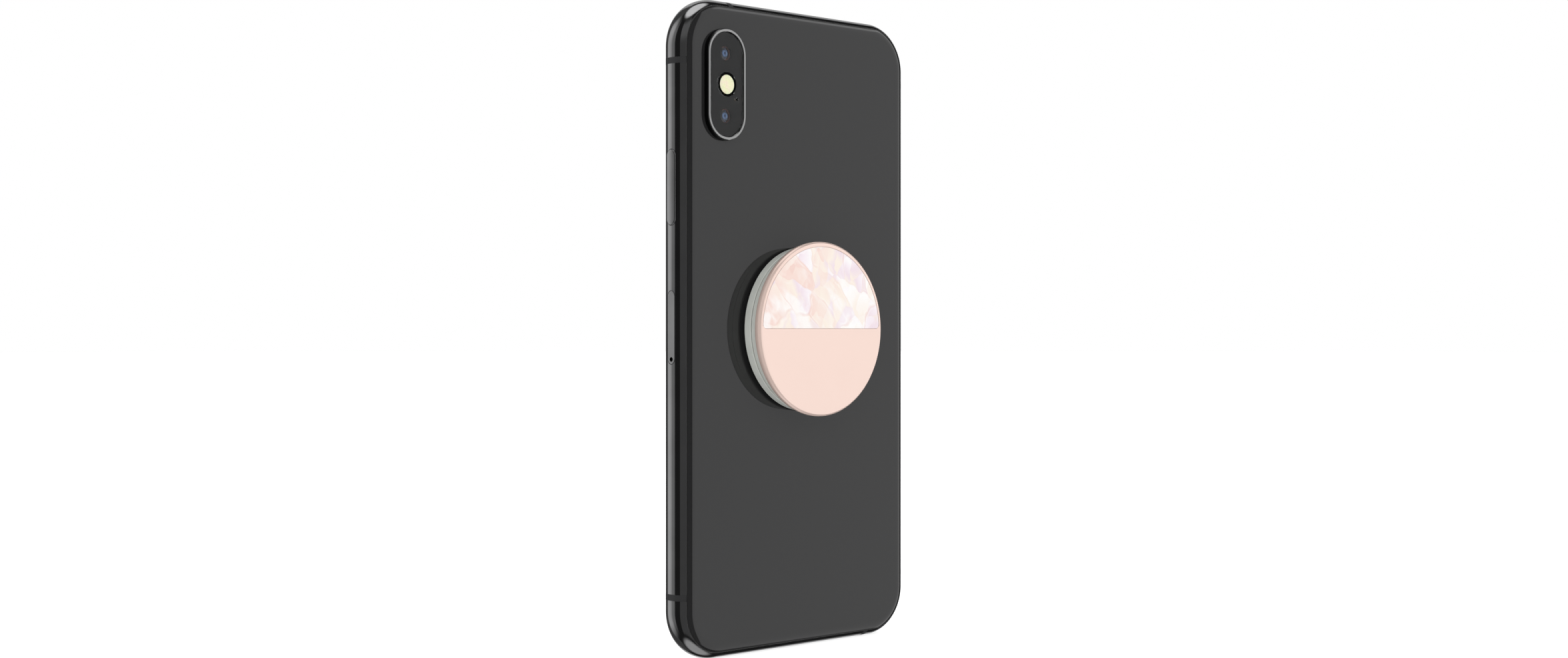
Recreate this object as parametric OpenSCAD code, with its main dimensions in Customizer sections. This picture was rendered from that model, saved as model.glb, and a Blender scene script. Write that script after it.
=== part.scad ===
// Glass-backed smartphone with a collapsible round grip bonded to its back.
// It stands on its bottom edge: +Z runs up its length, the display faces -Y,
// the rear glass faces +Y, and the side button and SIM tray are on the +X edge.
// The origin is the middle of the bottom edge, at the mouth of the charging port.

/* [Body] */
// Width across the band
body_w = 70.9; // [70:0.1:72]
// Length from bottom edge to top edge
body_h = 143.6; // [142:0.1:146]
// Thickness from display glass to rear glass
body_t = 7.7; // [7.6:0.05:7.9]
// Radius of the outline's corners
corner_r = 10.9; // [9.5:0.1:11.5]
// How far the rounded edge reaches in from the side
edge_reach = 3.6; // [3:0.1:3.8]
// Thickness of each cover glass
glass_t = 0.8; // [0.7:0.05:0.8]
// Thickness of the band's wall
wall = 2.6; // [2.5:0.05:2.7]

/* [Buttons and SIM tray] */
// Length of the side button
side_button_l = 16.3; // [14:0.1:17]
// Width of the side and volume buttons
button_w = 2.6; // [2.4:0.1:2.8]
// How far the buttons stand proud of the band
button_proud = 0.25; // [0.15:0.05:0.4]
// Length of one volume button
volume_button_l = 9.6; // [8:0.1:10]
// Length of the SIM tray's face
sim_face_l = 15.8; // [15:0.02:16]
// Width of the SIM tray's face
sim_face_w = 2.25; // [2.1:0.05:2.4]

/* [Cameras] */
// Width of the camera ring
ring_w = 11.2; // [11:0.1:11.6]
// Length of the camera ring
ring_l = 24.3; // [24:0.1:24.8]
// Height of the camera ring above the rear glass
ring_h = 1.2; // [1.1:0.05:1.4]
// Width of the ring's metal
ring_wall = 0.85; // [0.7:0.05:0.9]

/* [Charging port] */
// Width of the port's mouth
port_w = 8.6; // [8:0.1:9]
// Height of the port's mouth
port_t = 3.0; // [2.8:0.1:3.2]

/* [Grip] */
// Radius of the grip's cap
cap_r = 19.5; // [19:0.02:20]
// Radius of the grip's base and tray
grip_r = 18.4; // [18:0.1:18.6]
// Height of the closed grip above the rear glass
grip_h = 6.9; // [6.8:0.05:7.2]
// Radius of the pearl inlay
inlay_r = 18.2; // [17.5:0.1:18.4]

/* [Hidden] */
$fn = 96;
cut = 1;                                  // how far a cutting shape runs past the part
back = body_t / 2;                        // rear face, in Y
mid_z = body_h / 2;
half_w = body_w / 2;
inner_w = body_w - 2 * wall;              // clear width inside the band
inner_h = body_h - 2 * wall;
inner_r = corner_r - wall;

// Rounded edge: a soft superellipse from the side to the flat of the glass.
edge_power = 0.87;
lip_y = 3.28 / 3.85 * back;               // where the band's metal stops
lip_d = 1.45;                             // how far in the glass pocket starts
ledge_y = 2.95 / 3.85 * back;             // ledge that the glass is glued to
seal_w = 0.23;
seal_gap = 0.02;
glass_d = lip_d + seal_w + 2 * seal_gap;  // how far in the glass starts
glass_in = back - glass_t;                // inner face of either glass
function edge_point(a) = [
    edge_reach * (1 - pow(cos(a), edge_power)),
    sign(a) * back * pow(abs(sin(a)), edge_power)
];
function angle_at_y(y) = asin(pow(y / back, 1 / edge_power));
function angle_at_d(d) = acos(pow(1 - d / edge_reach, 1 / edge_power));
lip_a = angle_at_y(lip_y);
glass_a = angle_at_d(glass_d);
edge_steps = 10;

// Depth layers inside, in Y
panel_y = [-3.03, -2.5];
backplate_y = [-2.48, -2.2];
plate_y = [2.35, 2.85];
battery_y = [-1.9, 1.9];
board_y = [1.15, 1.95];
shield_front = -1.7;
notch_w = 36;
notch_z = 133.9;
sensor_z = 137.9;

// Antenna breaks: height of the side ones, place of the edge ones
break_t = 1.35;
break_up = 57.7;
top_break_x = 20.8;
bottom_break_x = -22;

// Rear camera group
cam_x = 23.63;
cam_z = mid_z + 53.12;
lens_up = 6.81;
ring_top = back + ring_h;
cover_top = ring_top - 0.08;
cover_y = [cover_top - 0.52, cover_top];
mask_y = [cover_y[0] - 0.15, cover_y[0] - 0.02];
flash_r = 2.1;
mic_off = [-2.88, -3.01];
camera_half = 5.1;
lens_bore = 2.75;
lens_r = 2.65;

// Buttons
side_button_z = mid_z + 30.45;
volume_up_z = 103;
volume_down_z = 90.4;
mute_z = 114.6;
mute_l = 5.7;
mute_travel = 1.2;
button_gap = 0.1;
flange_x = [32.2, 32.8];
plunger_x = 31.9;
switch_x = [30.7, 31.55];

// SIM tray, its reader and the eject lever
sim_z = mid_z + 0.33;
tray_z = 73.05;
tray_end = 15.8;
tray_head = 33;
pin_z = mid_z - 6.53;
pin_r = 0.5;
card = [8.8, 0.67, 12.3];
lever_pivot = [13.1, 70];

// Bottom edge
hole_r = 0.75;
hole_pitch = 2.55;
hole_first = 11;
screw_x = 6.9;

// Screws inside: [x, z, front of the head in y]
BOARD_SCREWS = [[9.2, 109.5], [30, 109.5], [30.3, 58.3], [-28.3, 125.5], [14.8, 125.5]];
CAMERA_SCREWS = [[30.7, 119], [30.7, 131]];
bracket_y = [-1.75, -1.45];
shank_r = 0.5;
thread_gap = 0.02;

// Wireless charging coil
coil_y = [2.38, 2.98];
coil_r = [10, 22];
coil_hole = 24.2;

// Grip stack, as heights above the rear glass
adhesive_h = [0.02, 0.8];
base_h = [0.82, 2.9];
tray_h = [3.05, 4.85];
cap_h = [4.9, grip_h];
collar_h = [1.45, 4.5];
inlay_t = 0.48;

// ---------- helpers ----------

module pill2d(w, l) {
    square([w, l - w], center = true);
    for (s = [-1, 1]) translate([0, s * (l - w) / 2]) circle(d = w);
}

module rounded2d(w, l, r) {
    square([w - 2 * r, l], center = true);
    square([w, l - 2 * r], center = true);
    for (x = [-1, 1], y = [-1, 1]) translate([x * (w / 2 - r), y * (l / 2 - r)]) circle(r);
}

// A sketch drawn in X and Z, given depth from y[0] to y[1].
module slab(y) {
    translate([0, y[1], 0]) rotate([90, 0, 0]) linear_extrude(y[1] - y[0]) children();
}

module block(x, y, z) {
    translate([x[0], y[0], z[0]]) cube([x[1] - x[0], y[1] - y[0], z[1] - z[0]]);
}

module rod_y(x, z, r, y) {
    translate([x, y[1], z]) rotate([90, 0, 0]) cylinder(r = r, h = y[1] - y[0]);
}

module tube_y(x, z, r, y) {
    difference() {
        rod_y(x, z, r[1], y);
        rod_y(x, z, r[0], [y[0] - cut, y[1] + cut]);
    }
}

// A stadium in Y and Z, given length along X.
module pill_x(y, z, w, l, x) {
    translate([x[0], y, z]) rotate([90, 0, 90]) linear_extrude(x[1] - x[0]) pill2d(w, l);
}

// A stadium in X and Y, given length along Z.
module pill_z(x, y, w, l, z) {
    translate([x, y, z[0]]) linear_extrude(z[1] - z[0]) rotate(90) pill2d(w, l);
}

// Sweeps a section of [distance in from the outline, depth Y] round the outline.
module swept(section) {
    profile = [for (p = section) [corner_r - p[0], -p[1]]];
    translate([0, 0, mid_z]) rotate([90, 0, 0]) for (i = [0:3]) {
        a = (i % 2 == 0 ? body_w : body_h) / 2 - corner_r;
        b = (i % 2 == 0 ? body_h : body_w) / 2 - corner_r;
        rotate(90 * i) translate([a, b, 0]) {
            rotate_extrude(angle = 90) polygon(profile);
            rotate([90, 0, 0]) linear_extrude(2 * b) polygon(profile);
        }
    }
}

module swept_plate(section, y) {
    swept(section);
    block([corner_r - half_w, half_w - corner_r], y, [corner_r, body_h - corner_r]);
}

module camera_pill(inset, y) {
    slab(y) translate([cam_x, cam_z]) pill2d(ring_w - 2 * inset, ring_l - 2 * inset);
}

// ---------- band and glass ----------

module band_ring() {
    outer = [for (i = [-edge_steps:edge_steps]) edge_point(lip_a * i / edge_steps)];
    inner = [
        [lip_d, lip_y], [lip_d, ledge_y], [wall, ledge_y],
        [wall, -ledge_y], [lip_d, -ledge_y], [lip_d, -lip_y]
    ];
    swept(concat(outer, inner));
}

module break_slots() {
    depth = [-back - cut, back + cut];
    for (s = [-1, 1]) {
        z = mid_z + s * break_up;
        block([-half_w - cut, half_w + cut], depth, [z - break_t / 2, z + break_t / 2]);
    }
    for (edge = [[top_break_x, body_h - 2 * wall], [bottom_break_x, -cut]])
        block([edge[0] - break_t / 2, edge[0] + break_t / 2], depth, [edge[1], edge[1] + 2 * wall + cut]);
}

module frame_band() {
    through = [half_w - wall - cut, half_w + cut];
    back_through = [-half_w - cut, -half_w + wall + cut];
    up = [-cut, wall + cut];
    color("dimgray") difference() {
        band_ring();
        break_slots();
        pill_x(0, side_button_z, button_w + 2 * button_gap, side_button_l + 2 * button_gap, through);
        pill_x(0, sim_z, sim_face_w + 0.12, sim_face_l + 0.12, through);
        for (z = [volume_up_z, volume_down_z])
            pill_x(0, z, button_w + 2 * button_gap, volume_button_l + 2 * button_gap, back_through);
        pill_x(0, mute_z, 3.2, mute_l + 1.3, back_through);
        pill_z(0, 0, port_t, port_w, up);
        for (i = [0:5]) translate([hole_first + i * hole_pitch, 0, up[0]]) cylinder(r = hole_r, h = up[1] + cut);
        for (i = [0:2]) translate([-hole_first - i * hole_pitch, 0, up[0]]) cylinder(r = hole_r, h = up[1] + cut);
        for (s = [-1, 1]) translate([s * screw_x, 0, 0]) {
            translate([0, 0, -cut]) cylinder(r = 0.85, h = 1 + cut);
            cylinder(r = 0.57, h = wall + cut);
        }
    }
}

module antenna_breaks() {
    color("#333333") intersection() {
        band_ring();
        break_slots();
    }
}

module mid_plate() {
    color("silver") {
        difference() {
            slab(plate_y) translate([0, mid_z]) rounded2d(inner_w - 0.04, inner_h - 0.04, inner_r);
            rod_y(0, mid_z, coil_hole, [plate_y[0] - cut, plate_y[1] + cut]);
            slab([plate_y[0] - cut, plate_y[1] + cut]) translate([23.4, cam_z]) rounded2d(11.8, 25.4, 2);
            for (p = concat(BOARD_SCREWS, CAMERA_SCREWS))
                rod_y(p[0], p[1], shank_r + thread_gap, [plate_y[0] - cut, plate_y[1] + cut]);
        }
        for (p = BOARD_SCREWS) tube_y(p[0], p[1], [shank_r + thread_gap, 1.3], [board_y[1], plate_y[0]]);
        for (p = CAMERA_SCREWS) tube_y(p[0], p[1], [shank_r + thread_gap, 1], [bracket_y[1], plate_y[0]]);
    }
}

// Section of a cover glass whose outer face is on the side given by s.
function glass_section(s) = concat(
    [[corner_r, s * glass_in], [glass_d, s * glass_in]],
    [for (i = [0:edge_steps]) let (p = edge_point(glass_a + (90 - glass_a) * i / edge_steps)) [p[0], s * p[1]]],
    [[corner_r, s * back]]
);

// Section of the gasket that lines the pocket of a cover glass.
function seal_section(s) = [
    [lip_d + seal_gap, s * (ledge_y + seal_gap)], [wall - 0.1, s * (ledge_y + seal_gap)],
    [wall - 0.1, s * (glass_in - seal_gap)], [lip_d + seal_gap + seal_w, s * (glass_in - seal_gap)],
    [lip_d + seal_gap + seal_w, s * (lip_y + 0.14)], [lip_d + seal_gap, s * (lip_y + 0.06)]
];

module rear_glass() {
    color("#444444") difference() {
        swept_plate(glass_section(1), [glass_in, back]);
        camera_pill(-0.05, [glass_in - cut, back + cut]);
    }
}

module rear_seal() {
    color("#222222") swept(seal_section(1));
}

module display_glass() {
    color("#0a0a0c") difference() {
        swept_plate(glass_section(-1), [-back, -glass_in]);
        slab([-back - cut, cut - glass_in]) translate([0, sensor_z + 0.7]) rotate(90) pill2d(1, 9.4);
    }
}

module display_seal() {
    color("#141414") swept(seal_section(-1));
}

module display_sketch(w, l, r) {
    difference() {
        translate([0, mid_z]) rounded2d(w, l, r);
        translate([-notch_w / 2, notch_z]) square([notch_w, body_h]);
    }
}

module display_panel() {
    color("#08080a") slab(panel_y) display_sketch(62.4, 135.1, 6.5);
}

module display_backplate() {
    color("gray") slab(backplate_y) display_sketch(63.6, 136, 7);
}

// ---------- front sensors ----------

module earpiece_mesh() {
    color("#202020") slab([-back + 0.25, -glass_in - 0.05]) translate([0, sensor_z + 0.7])
        rotate(90) pill2d(0.94, 9.34);
}

module earpiece_speaker() {
    color("#303030") {
        block([-6, 6], [-2.4, -1.02], [134.2, 139.8]);
        block([-4.5, 4.5], [-3, -2.4], [138.1, 139.1]);
    }
}

module front_sensor_bracket() {
    color("silver") slab([-1, -0.6]) translate([0, 136.9]) rounded2d(34, 6.4, 1);
}

module round_sensor(x, r) {
    rod_y(x, sensor_z, r, [-3, -1.9]);
    block([x - r, x + r], [-1.9, -1.02], [sensor_z - r, sensor_z + r]);
}

module front_camera() {
    color("#15151c") round_sensor(9.2, 2);
}

module infrared_camera() {
    color("#1c1518") round_sensor(-14.6, 2.1);
}

module dot_projector() {
    color("#24201c") round_sensor(14.4, 1.8);
}

// ---------- rear cameras ----------

module camera_ring() {
    color("#8c8c8c") difference() {
        union() {
            camera_pill(0, [glass_in + 0.03, ring_top - 0.12]);
            camera_pill(0.12, [ring_top - 0.12, ring_top]);
            camera_pill(-0.7, [plate_y[1] + 0.03, glass_in - 0.02]);
            camera_pill(0, [plate_y[1] + 0.03, glass_in + 0.03]);
        }
        camera_pill(ring_wall, [0, ring_top + cut]);
    }
}

module camera_openings(lens, flash, mic, y) {
    for (s = [-1, 1]) rod_y(cam_x, cam_z + s * lens_up, lens, y);
    rod_y(cam_x, cam_z, flash, y);
    rod_y(cam_x + mic_off[0], cam_z + mic_off[1], mic, y);
}

module camera_cover_glass() {
    open = [cover_y[0] - cut, cover_y[1] + cut];
    color("#303030") difference() {
        camera_pill(ring_wall + 0.05, cover_y);
        rod_y(cam_x, cam_z, flash_r + 0.05, open);
        rod_y(cam_x + mic_off[0], cam_z + mic_off[1], 0.32, open);
    }
}

module camera_light_mask() {
    color("#101010") difference() {
        camera_pill(ring_wall + 0.05, mask_y);
        camera_openings(1.55, flash_r + 0.05, 0.32, [mask_y[0] - cut, mask_y[1] + cut]);
    }
}

module camera_bracket() {
    color("silver") difference() {
        block([17.8, 31.5], bracket_y, [112.8, 136.8]);
        for (p = CAMERA_SCREWS) rod_y(p[0], p[1], 0.6, [bracket_y[0] - cut, bracket_y[1] + cut]);
    }
}

module camera_module(z) {
    difference() {
        union() {
            block([cam_x - camera_half, cam_x + camera_half], [-1.43, 2.8], [z - camera_half, z + camera_half]);
            rod_y(cam_x, z, 3.4, [2.8, 3.9]);
        }
        rod_y(cam_x, z, lens_bore, [1.5, 5]);
    }
}

// A lens barrel with a dished front.
module lens_barrel(z) {
    difference() {
        rod_y(cam_x, z, lens_r, [1.7, 4.02]);
        translate([cam_x, 4.02 + 2.9, z]) sphere(3.2);
    }
}

module wide_camera() {
    color("#2a2a2c") camera_module(cam_z + lens_up);
}

module wide_lens() {
    color("#1d2438") lens_barrel(cam_z + lens_up);
}

module tele_camera() {
    color("#2a2a2c") camera_module(cam_z - lens_up);
}

module tele_lens() {
    color("#1d2438") lens_barrel(cam_z - lens_up);
}

module flash_lens() {
    color("#efe4b4") rod_y(cam_x, cam_z, flash_r, [mask_y[0] - 0.1, cover_top]);
}

module flash_board() {
    color("#d8d8d0") slab([mask_y[0] - 0.55, mask_y[0] - 0.12]) translate([cam_x, cam_z]) rotate(90) pill2d(3.2, 5.6);
}

module rear_microphone() {
    color("#b0a070") rod_y(cam_x + mic_off[0], cam_z + mic_off[1], 0.85, [3.55, mask_y[0] - 0.02]);
}

// ---------- boards, battery and drivers ----------

module logic_board() {
    color("#1d4a3a") difference() {
        union() {
            block([7.5, 31.8], board_y, [57, 111.5]);
            block([7.5, 16.5], board_y, [111.5, 131]);
            block([-30, 7.5], board_y, [120, 131]);
        }
        for (p = BOARD_SCREWS) rod_y(p[0], p[1], 0.6, [board_y[0] - cut, board_y[1] + cut]);
    }
}

module board_shields() {
    depth = [shield_front, board_y[0] - 0.02];
    color("silver") {
        block([11, 28.5], depth, [83, 108]);
        block([-26, 12.5], depth, [121.5, 129.5]);
        block([10, 27], [-1, board_y[0] - 0.02], [58.4, 62.6]);
    }
}

module battery_cells() {
    color("#1b1b1d") {
        slab(battery_y) translate([-12.25, 73.5]) rounded2d(35.5, 89, 1);
        slab(battery_y) translate([18.75, 42]) rounded2d(22.5, 26, 1);
    }
}

module battery_adhesive() {
    depth = [battery_y[1] + 0.02, battery_y[1] + 0.08];
    color("white") {
        for (x = [-26, -2]) block([x - 3, x + 3], depth, [31, 116]);
        block([15, 22], depth, [31, 53]);
    }
}

module haptic_case() {
    color("silver") difference() {
        block([-31, -8], battery_y, [13, 26.5]);
        block([-30.3, -8.7], [-1.4, 1.4], [13.7, 25.8]);
    }
}

module haptic_mass() {
    color("#707078") block([-28.4, -10.6], [-1.15, 1.15], [14, 25.5]);
}

module loudspeaker() {
    color("#202022") difference() {
        union() {
            slab(battery_y) translate([19.35, 16]) rounded2d(22.3, 21, 1.5);
            block([10, 25], [-1, 1], [wall + 0.1, 6]);
        }
        block([10.8, 24.2], [-0.6, 0.6], [wall - cut, 8]);
    }
}

module bottom_microphones() {
    color("#c0a860") for (x = [-12.3, -15.6]) block([x - 1.4, x + 1.4], [-1, 1], [wall + 0.1, 4.3]);
}

module charging_connector() {
    mouth = wall + 0.05;
    color("#9a9a9a") difference() {
        block([-5.5, 5.5], [-2, 2], [mouth, 10.8]);
        pill_z(0, 0, port_t - 0.2, port_w - 0.2, [mouth - cut, 9.6]);
    }
}

module charging_contacts() {
    color("gold") for (i = [-3.5:3.5], s = [-1, 1])
        translate([i * 0.72 - 0.2, s * (port_t / 2 - 0.225) - 0.115, 4]) cube([0.4, 0.23, 5]);
}

// ---------- SIM tray ----------

module sim_tray() {
    depth = [-0.75, 0.65];
    color("dimgray") difference() {
        union() {
            pill_x(0, sim_z, sim_face_w, sim_face_l, [tray_head, half_w - 0.03]);
            block([tray_end, tray_head], depth, [tray_z - 6.55, tray_z + 6.55]);
        }
        block([17.5, 26.5], [depth[0] - cut, 0.1], [tray_z - 6.25, tray_z + 6.25]);
        block([19, 25], [-cut, 2], [tray_z - 5, tray_z + 5]);
        translate([tray_head - cut, 0, pin_z]) rotate([0, 90, 0]) cylinder(r = pin_r, h = 5);
    }
}

module sim_card() {
    color("whitesmoke") translate([17.6, 0.1 - card[1] - 0.01, tray_z - card[2] / 2]) cube(card);
}

module sim_reader() {
    color("silver") {
        difference() {
            block([10, half_w - wall - 0.25], [-1.3, 1.12], [63.9, 80.3]);
            block([10.6, half_w], [-1, 0.9], [64.4, 79.9]);
        }
        rod_y(lever_pivot[0], lever_pivot[1], 0.5, [-1, 0.9]);
    }
}

module sim_eject_rod() {
    color("#808080") block([13.95, 32.3], [-0.5, 0.5], [pin_z - 0.55, pin_z + 0.55]);
}

module sim_eject_lever() {
    color("#909090") difference() {
        block([12.6, 13.6], [-0.4, 0.4], [64.7, 75.3]);
        rod_y(lever_pivot[0], lever_pivot[1], 0.56, [-cut, cut]);
    }
    color("#909090") tube_y(lever_pivot[0], lever_pivot[1], [0.56, 1], [-0.4, 0.4]);
}

// ---------- buttons ----------

// A push button on the +X side: head, retaining flange and plunger.
module push_button(z, l) {
    pill_x(0, z, button_w, l, [flange_x[1], half_w + button_proud]);
    block(flange_x, [-1.65, 1.65], [z - l / 2 - 0.5, z + l / 2 + 0.5]);
    block([plunger_x, flange_x[0]], [-0.6, 0.6], [z - 0.6, z + 0.6]);
}

module push_switch(z) {
    block(switch_x, [-1.05, 1.05], [z - 1.8, z + 1.8]);
}

module side_button() {
    color("#8a8a8a") push_button(side_button_z, side_button_l);
}

module side_switch() {
    color("#b0b0b0") push_switch(side_button_z);
}

module volume_up_button() {
    color("#8a8a8a") mirror([1, 0, 0]) push_button(volume_up_z, volume_button_l);
}

module volume_down_button() {
    color("#8a8a8a") mirror([1, 0, 0]) push_button(volume_down_z, volume_button_l);
}

module volume_switches() {
    color("#b0b0b0") mirror([1, 0, 0]) {
        push_switch(volume_up_z);
        push_switch(volume_down_z);
    }
}

module mute_switch() {
    color("#8a8a8a") mirror([1, 0, 0]) {
        pill_x(-mute_travel / 2, mute_z, 1.9, mute_l, [flange_x[1], half_w + 0.2]);
        block(flange_x, [-mute_travel / 2 - 1.4, -mute_travel / 2 + 1.4], [mute_z - 3.8, mute_z + 3.8]);
    }
}

module mute_switch_body() {
    color("#303030") mirror([1, 0, 0]) block([30.5, 32], [-1.6, 1.6], [mute_z - 3, mute_z + 3]);
}

// ---------- wireless charging and screws ----------

module wireless_coil() {
    color("#b87333") tube_y(0, mid_z, coil_r, coil_y);
}

module coil_shield() {
    color("#2e2e30") rod_y(0, mid_z, 23.5, [2, 2.3]);
}

module screw_in(p, head_y) {
    rod_y(p[0], p[1], 1, [head_y - 0.38, head_y - 0.02]);
    rod_y(p[0], p[1], shank_r, [head_y - 0.02, plate_y[1]]);
}

module internal_screws() {
    color("silver") difference() {
        union() {
            for (p = BOARD_SCREWS) screw_in(p, board_y[0]);
            for (p = CAMERA_SCREWS) screw_in(p, bracket_y[0]);
        }
        for (p = BOARD_SCREWS) rod_y(p[0], p[1], 0.35, [board_y[0] - cut, board_y[0] - 0.2], $fn = 6);
        for (p = CAMERA_SCREWS) rod_y(p[0], p[1], 0.35, [bracket_y[0] - cut, bracket_y[0] - 0.2], $fn = 6);
    }
}

module bottom_screws() {
    color("silver") for (s = [-1, 1]) translate([s * screw_x, 0, 0]) difference() {
        union() {
            translate([0, 0, 0.1]) cylinder(r = 0.8, h = 0.85);
            translate([0, 0, 0.95]) cylinder(r = 0.55, h = 2.6);
        }
        translate([0, 0, -cut]) cylinder(r = 0.4, h = cut + 0.5, $fn = 5);
    }
}

// ---------- grip ----------

// A turned piece about the grip's axis: section of [radius, height above the rear glass].
module turned(section) {
    translate([0, back, mid_z]) rotate([-90, 0, 0]) rotate_extrude() polygon(section);
}

module grip_adhesive() {
    color("#1a1a1a") turned([[0, adhesive_h[0]], [17.4, adhesive_h[0]], [17.4, adhesive_h[1]], [0, adhesive_h[1]]]);
}

module grip_base() {
    r = grip_r;
    lo = base_h[0];
    hi = base_h[1];
    color("#b9bcb6") turned([
        [0, lo], [r - 0.35, lo], [r - 0.1, lo + 0.1], [r, lo + 0.35], [r, hi - 0.15], [r - 0.15, hi],
        [r - 1.1, hi], [r - 1.1, 1.3], [0, 1.3]
    ]);
}

// Rigid rings that stand in for the folds of the grip's flexible stem.
module grip_collar(r) {
    turned([[r - 1, collar_h[0]], [r, collar_h[0]], [r, collar_h[1]], [r - 1, collar_h[1]]]);
}

module grip_collar_low() {
    color("#b0b3ad") grip_collar(16.6);
}

module grip_collar_mid() {
    color("#b0b3ad") grip_collar(14.4);
}

module grip_collar_high() {
    color("#b0b3ad") grip_collar(12.2);
}

module grip_tray() {
    r = grip_r - 0.15;
    lo = tray_h[0];
    hi = tray_h[1];
    ceiling = hi - 0.25;
    color("#b9bcb6") turned([
        [4.15, hi], [r, hi], [r, lo + 0.15], [r - 0.15, lo], [r - 0.9, lo], [r - 0.9, ceiling],
        [10, ceiling], [10, 1.6], [9, 1.6], [9, ceiling], [4.15, ceiling]
    ]);
}

module inlay_sketch(grow) {
    r = inlay_r + grow;
    fillet = 0.9 + grow;
    foot = 0.12 - grow;
    intersection() {
        circle(r);
        union() {
            translate([-r, foot + fillet]) square([2 * r, r]);
            translate([fillet - r, foot]) square([2 * (r - fillet), r]);
            for (s = [-1, 1]) translate([s * (r - fillet - 0.02), foot + fillet]) circle(fillet);
        }
    }
}

module grip_cap() {
    lo = cap_h[0];
    hi = cap_h[1];
    r = cap_r;
    color("#f2cfc2") difference() {
        turned([
            [0, lo - 0.85], [4, lo - 0.85], [4, lo], [r - 0.95, lo], [r - 0.4, lo + 0.15], [r - 0.1, lo + 0.5],
            [r, lo + 1], [r, hi - 0.65], [r - 0.1, hi - 0.35], [r - 0.35, hi - 0.12], [r - 0.75, hi], [0, hi]
        ]);
        slab([back + hi - inlay_t - 0.02, back + hi + cut]) translate([0, mid_z]) inlay_sketch(0.03);
    }
}

module grip_inlay() {
    color("#fbeff2") slab([back + cap_h[1] - inlay_t, back + cap_h[1]]) translate([0, mid_z]) inlay_sketch(0);
}

frame_band();
antenna_breaks();
mid_plate();
rear_glass();
rear_seal();
display_glass();
display_seal();
display_panel();
display_backplate();
earpiece_mesh();
earpiece_speaker();
front_sensor_bracket();
front_camera();
infrared_camera();
dot_projector();
camera_ring();
camera_cover_glass();
camera_light_mask();
camera_bracket();
wide_camera();
wide_lens();
tele_camera();
tele_lens();
flash_lens();
flash_board();
rear_microphone();
logic_board();
board_shields();
battery_cells();
battery_adhesive();
haptic_case();
haptic_mass();
loudspeaker();
bottom_microphones();
charging_connector();
charging_contacts();
sim_tray();
sim_card();
sim_reader();
sim_eject_rod();
sim_eject_lever();
side_button();
side_switch();
volume_up_button();
volume_down_button();
volume_switches();
mute_switch();
mute_switch_body();
wireless_coil();
coil_shield();
internal_screws();
bottom_screws();
grip_adhesive();
grip_base();
grip_collar_low();
grip_collar_mid();
grip_collar_high();
grip_tray();
grip_cap();
grip_inlay();
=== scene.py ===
"""Looks of a glass-backed smartphone with a collapsible round grip on its back.

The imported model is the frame. Each sub-assembly is a class that builds its pieces round that frame,
dresses them in procedural finishes and lets them ride on the model's bodies. Sizes are millimetres
in the frame's axes: +Z up the phone's length, +Y out of the rear glass, +X towards the side button.
"""

import logging
import math
from dataclasses import dataclass, field
from enum import Enum
from typing import Iterable, Optional, Sequence

import bmesh
import bpy
from mathutils import Matrix, Vector


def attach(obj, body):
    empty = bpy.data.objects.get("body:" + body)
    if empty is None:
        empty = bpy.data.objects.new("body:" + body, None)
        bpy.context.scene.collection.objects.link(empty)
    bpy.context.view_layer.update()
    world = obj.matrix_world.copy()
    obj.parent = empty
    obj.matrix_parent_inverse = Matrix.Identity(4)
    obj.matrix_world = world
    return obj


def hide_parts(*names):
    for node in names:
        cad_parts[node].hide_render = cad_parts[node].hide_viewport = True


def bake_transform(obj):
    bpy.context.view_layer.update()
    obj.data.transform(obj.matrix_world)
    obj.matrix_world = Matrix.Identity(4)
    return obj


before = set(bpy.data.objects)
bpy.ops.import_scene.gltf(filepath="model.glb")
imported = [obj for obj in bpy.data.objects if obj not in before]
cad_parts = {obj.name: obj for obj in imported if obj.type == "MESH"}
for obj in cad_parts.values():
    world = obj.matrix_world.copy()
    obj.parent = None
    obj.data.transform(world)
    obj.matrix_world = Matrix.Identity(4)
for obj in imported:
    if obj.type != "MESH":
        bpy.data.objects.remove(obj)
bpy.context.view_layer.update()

logging.basicConfig(level=logging.INFO, format="%(message)s")
log = logging.getLogger("phone")

MM = 0.001
Point2 = tuple[float, float]
Point3 = tuple[float, float, float]
Colour = tuple[float, float, float]
Socket = bpy.types.NodeSocket

HALF_WIDTH = 35.45
HEIGHT = 143.6
MID_Z = HEIGHT / 2
BACK = 3.85


# ---------------------------------------------------------------- outlines and sections


class Facing(Enum):
    """The way a sketched outline faces, once it is given depth."""

    REAR = "rear"
    RIGHT = "right"
    LEFT = "left"
    DOWN = "down"

    def point(self, u: float, v: float, depth: float) -> Vector:
        """Places a sketch point in the frame.

        Args:
            u: Distance across the sketch, in X on a sketch that faces the rear or down, else in Y.
            v: Distance up the sketch, in Y on a sketch that faces down, else in Z.
            depth: Distance from the frame's origin along the way that the sketch faces.

        Returns:
            The point, in metres.
        """
        places = {
            Facing.REAR: (u, depth, v),
            Facing.RIGHT: (depth, u, v),
            Facing.LEFT: (-depth, u, v),
            Facing.DOWN: (u, v, -depth),
        }
        return Vector(places[self]) * MM


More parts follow.
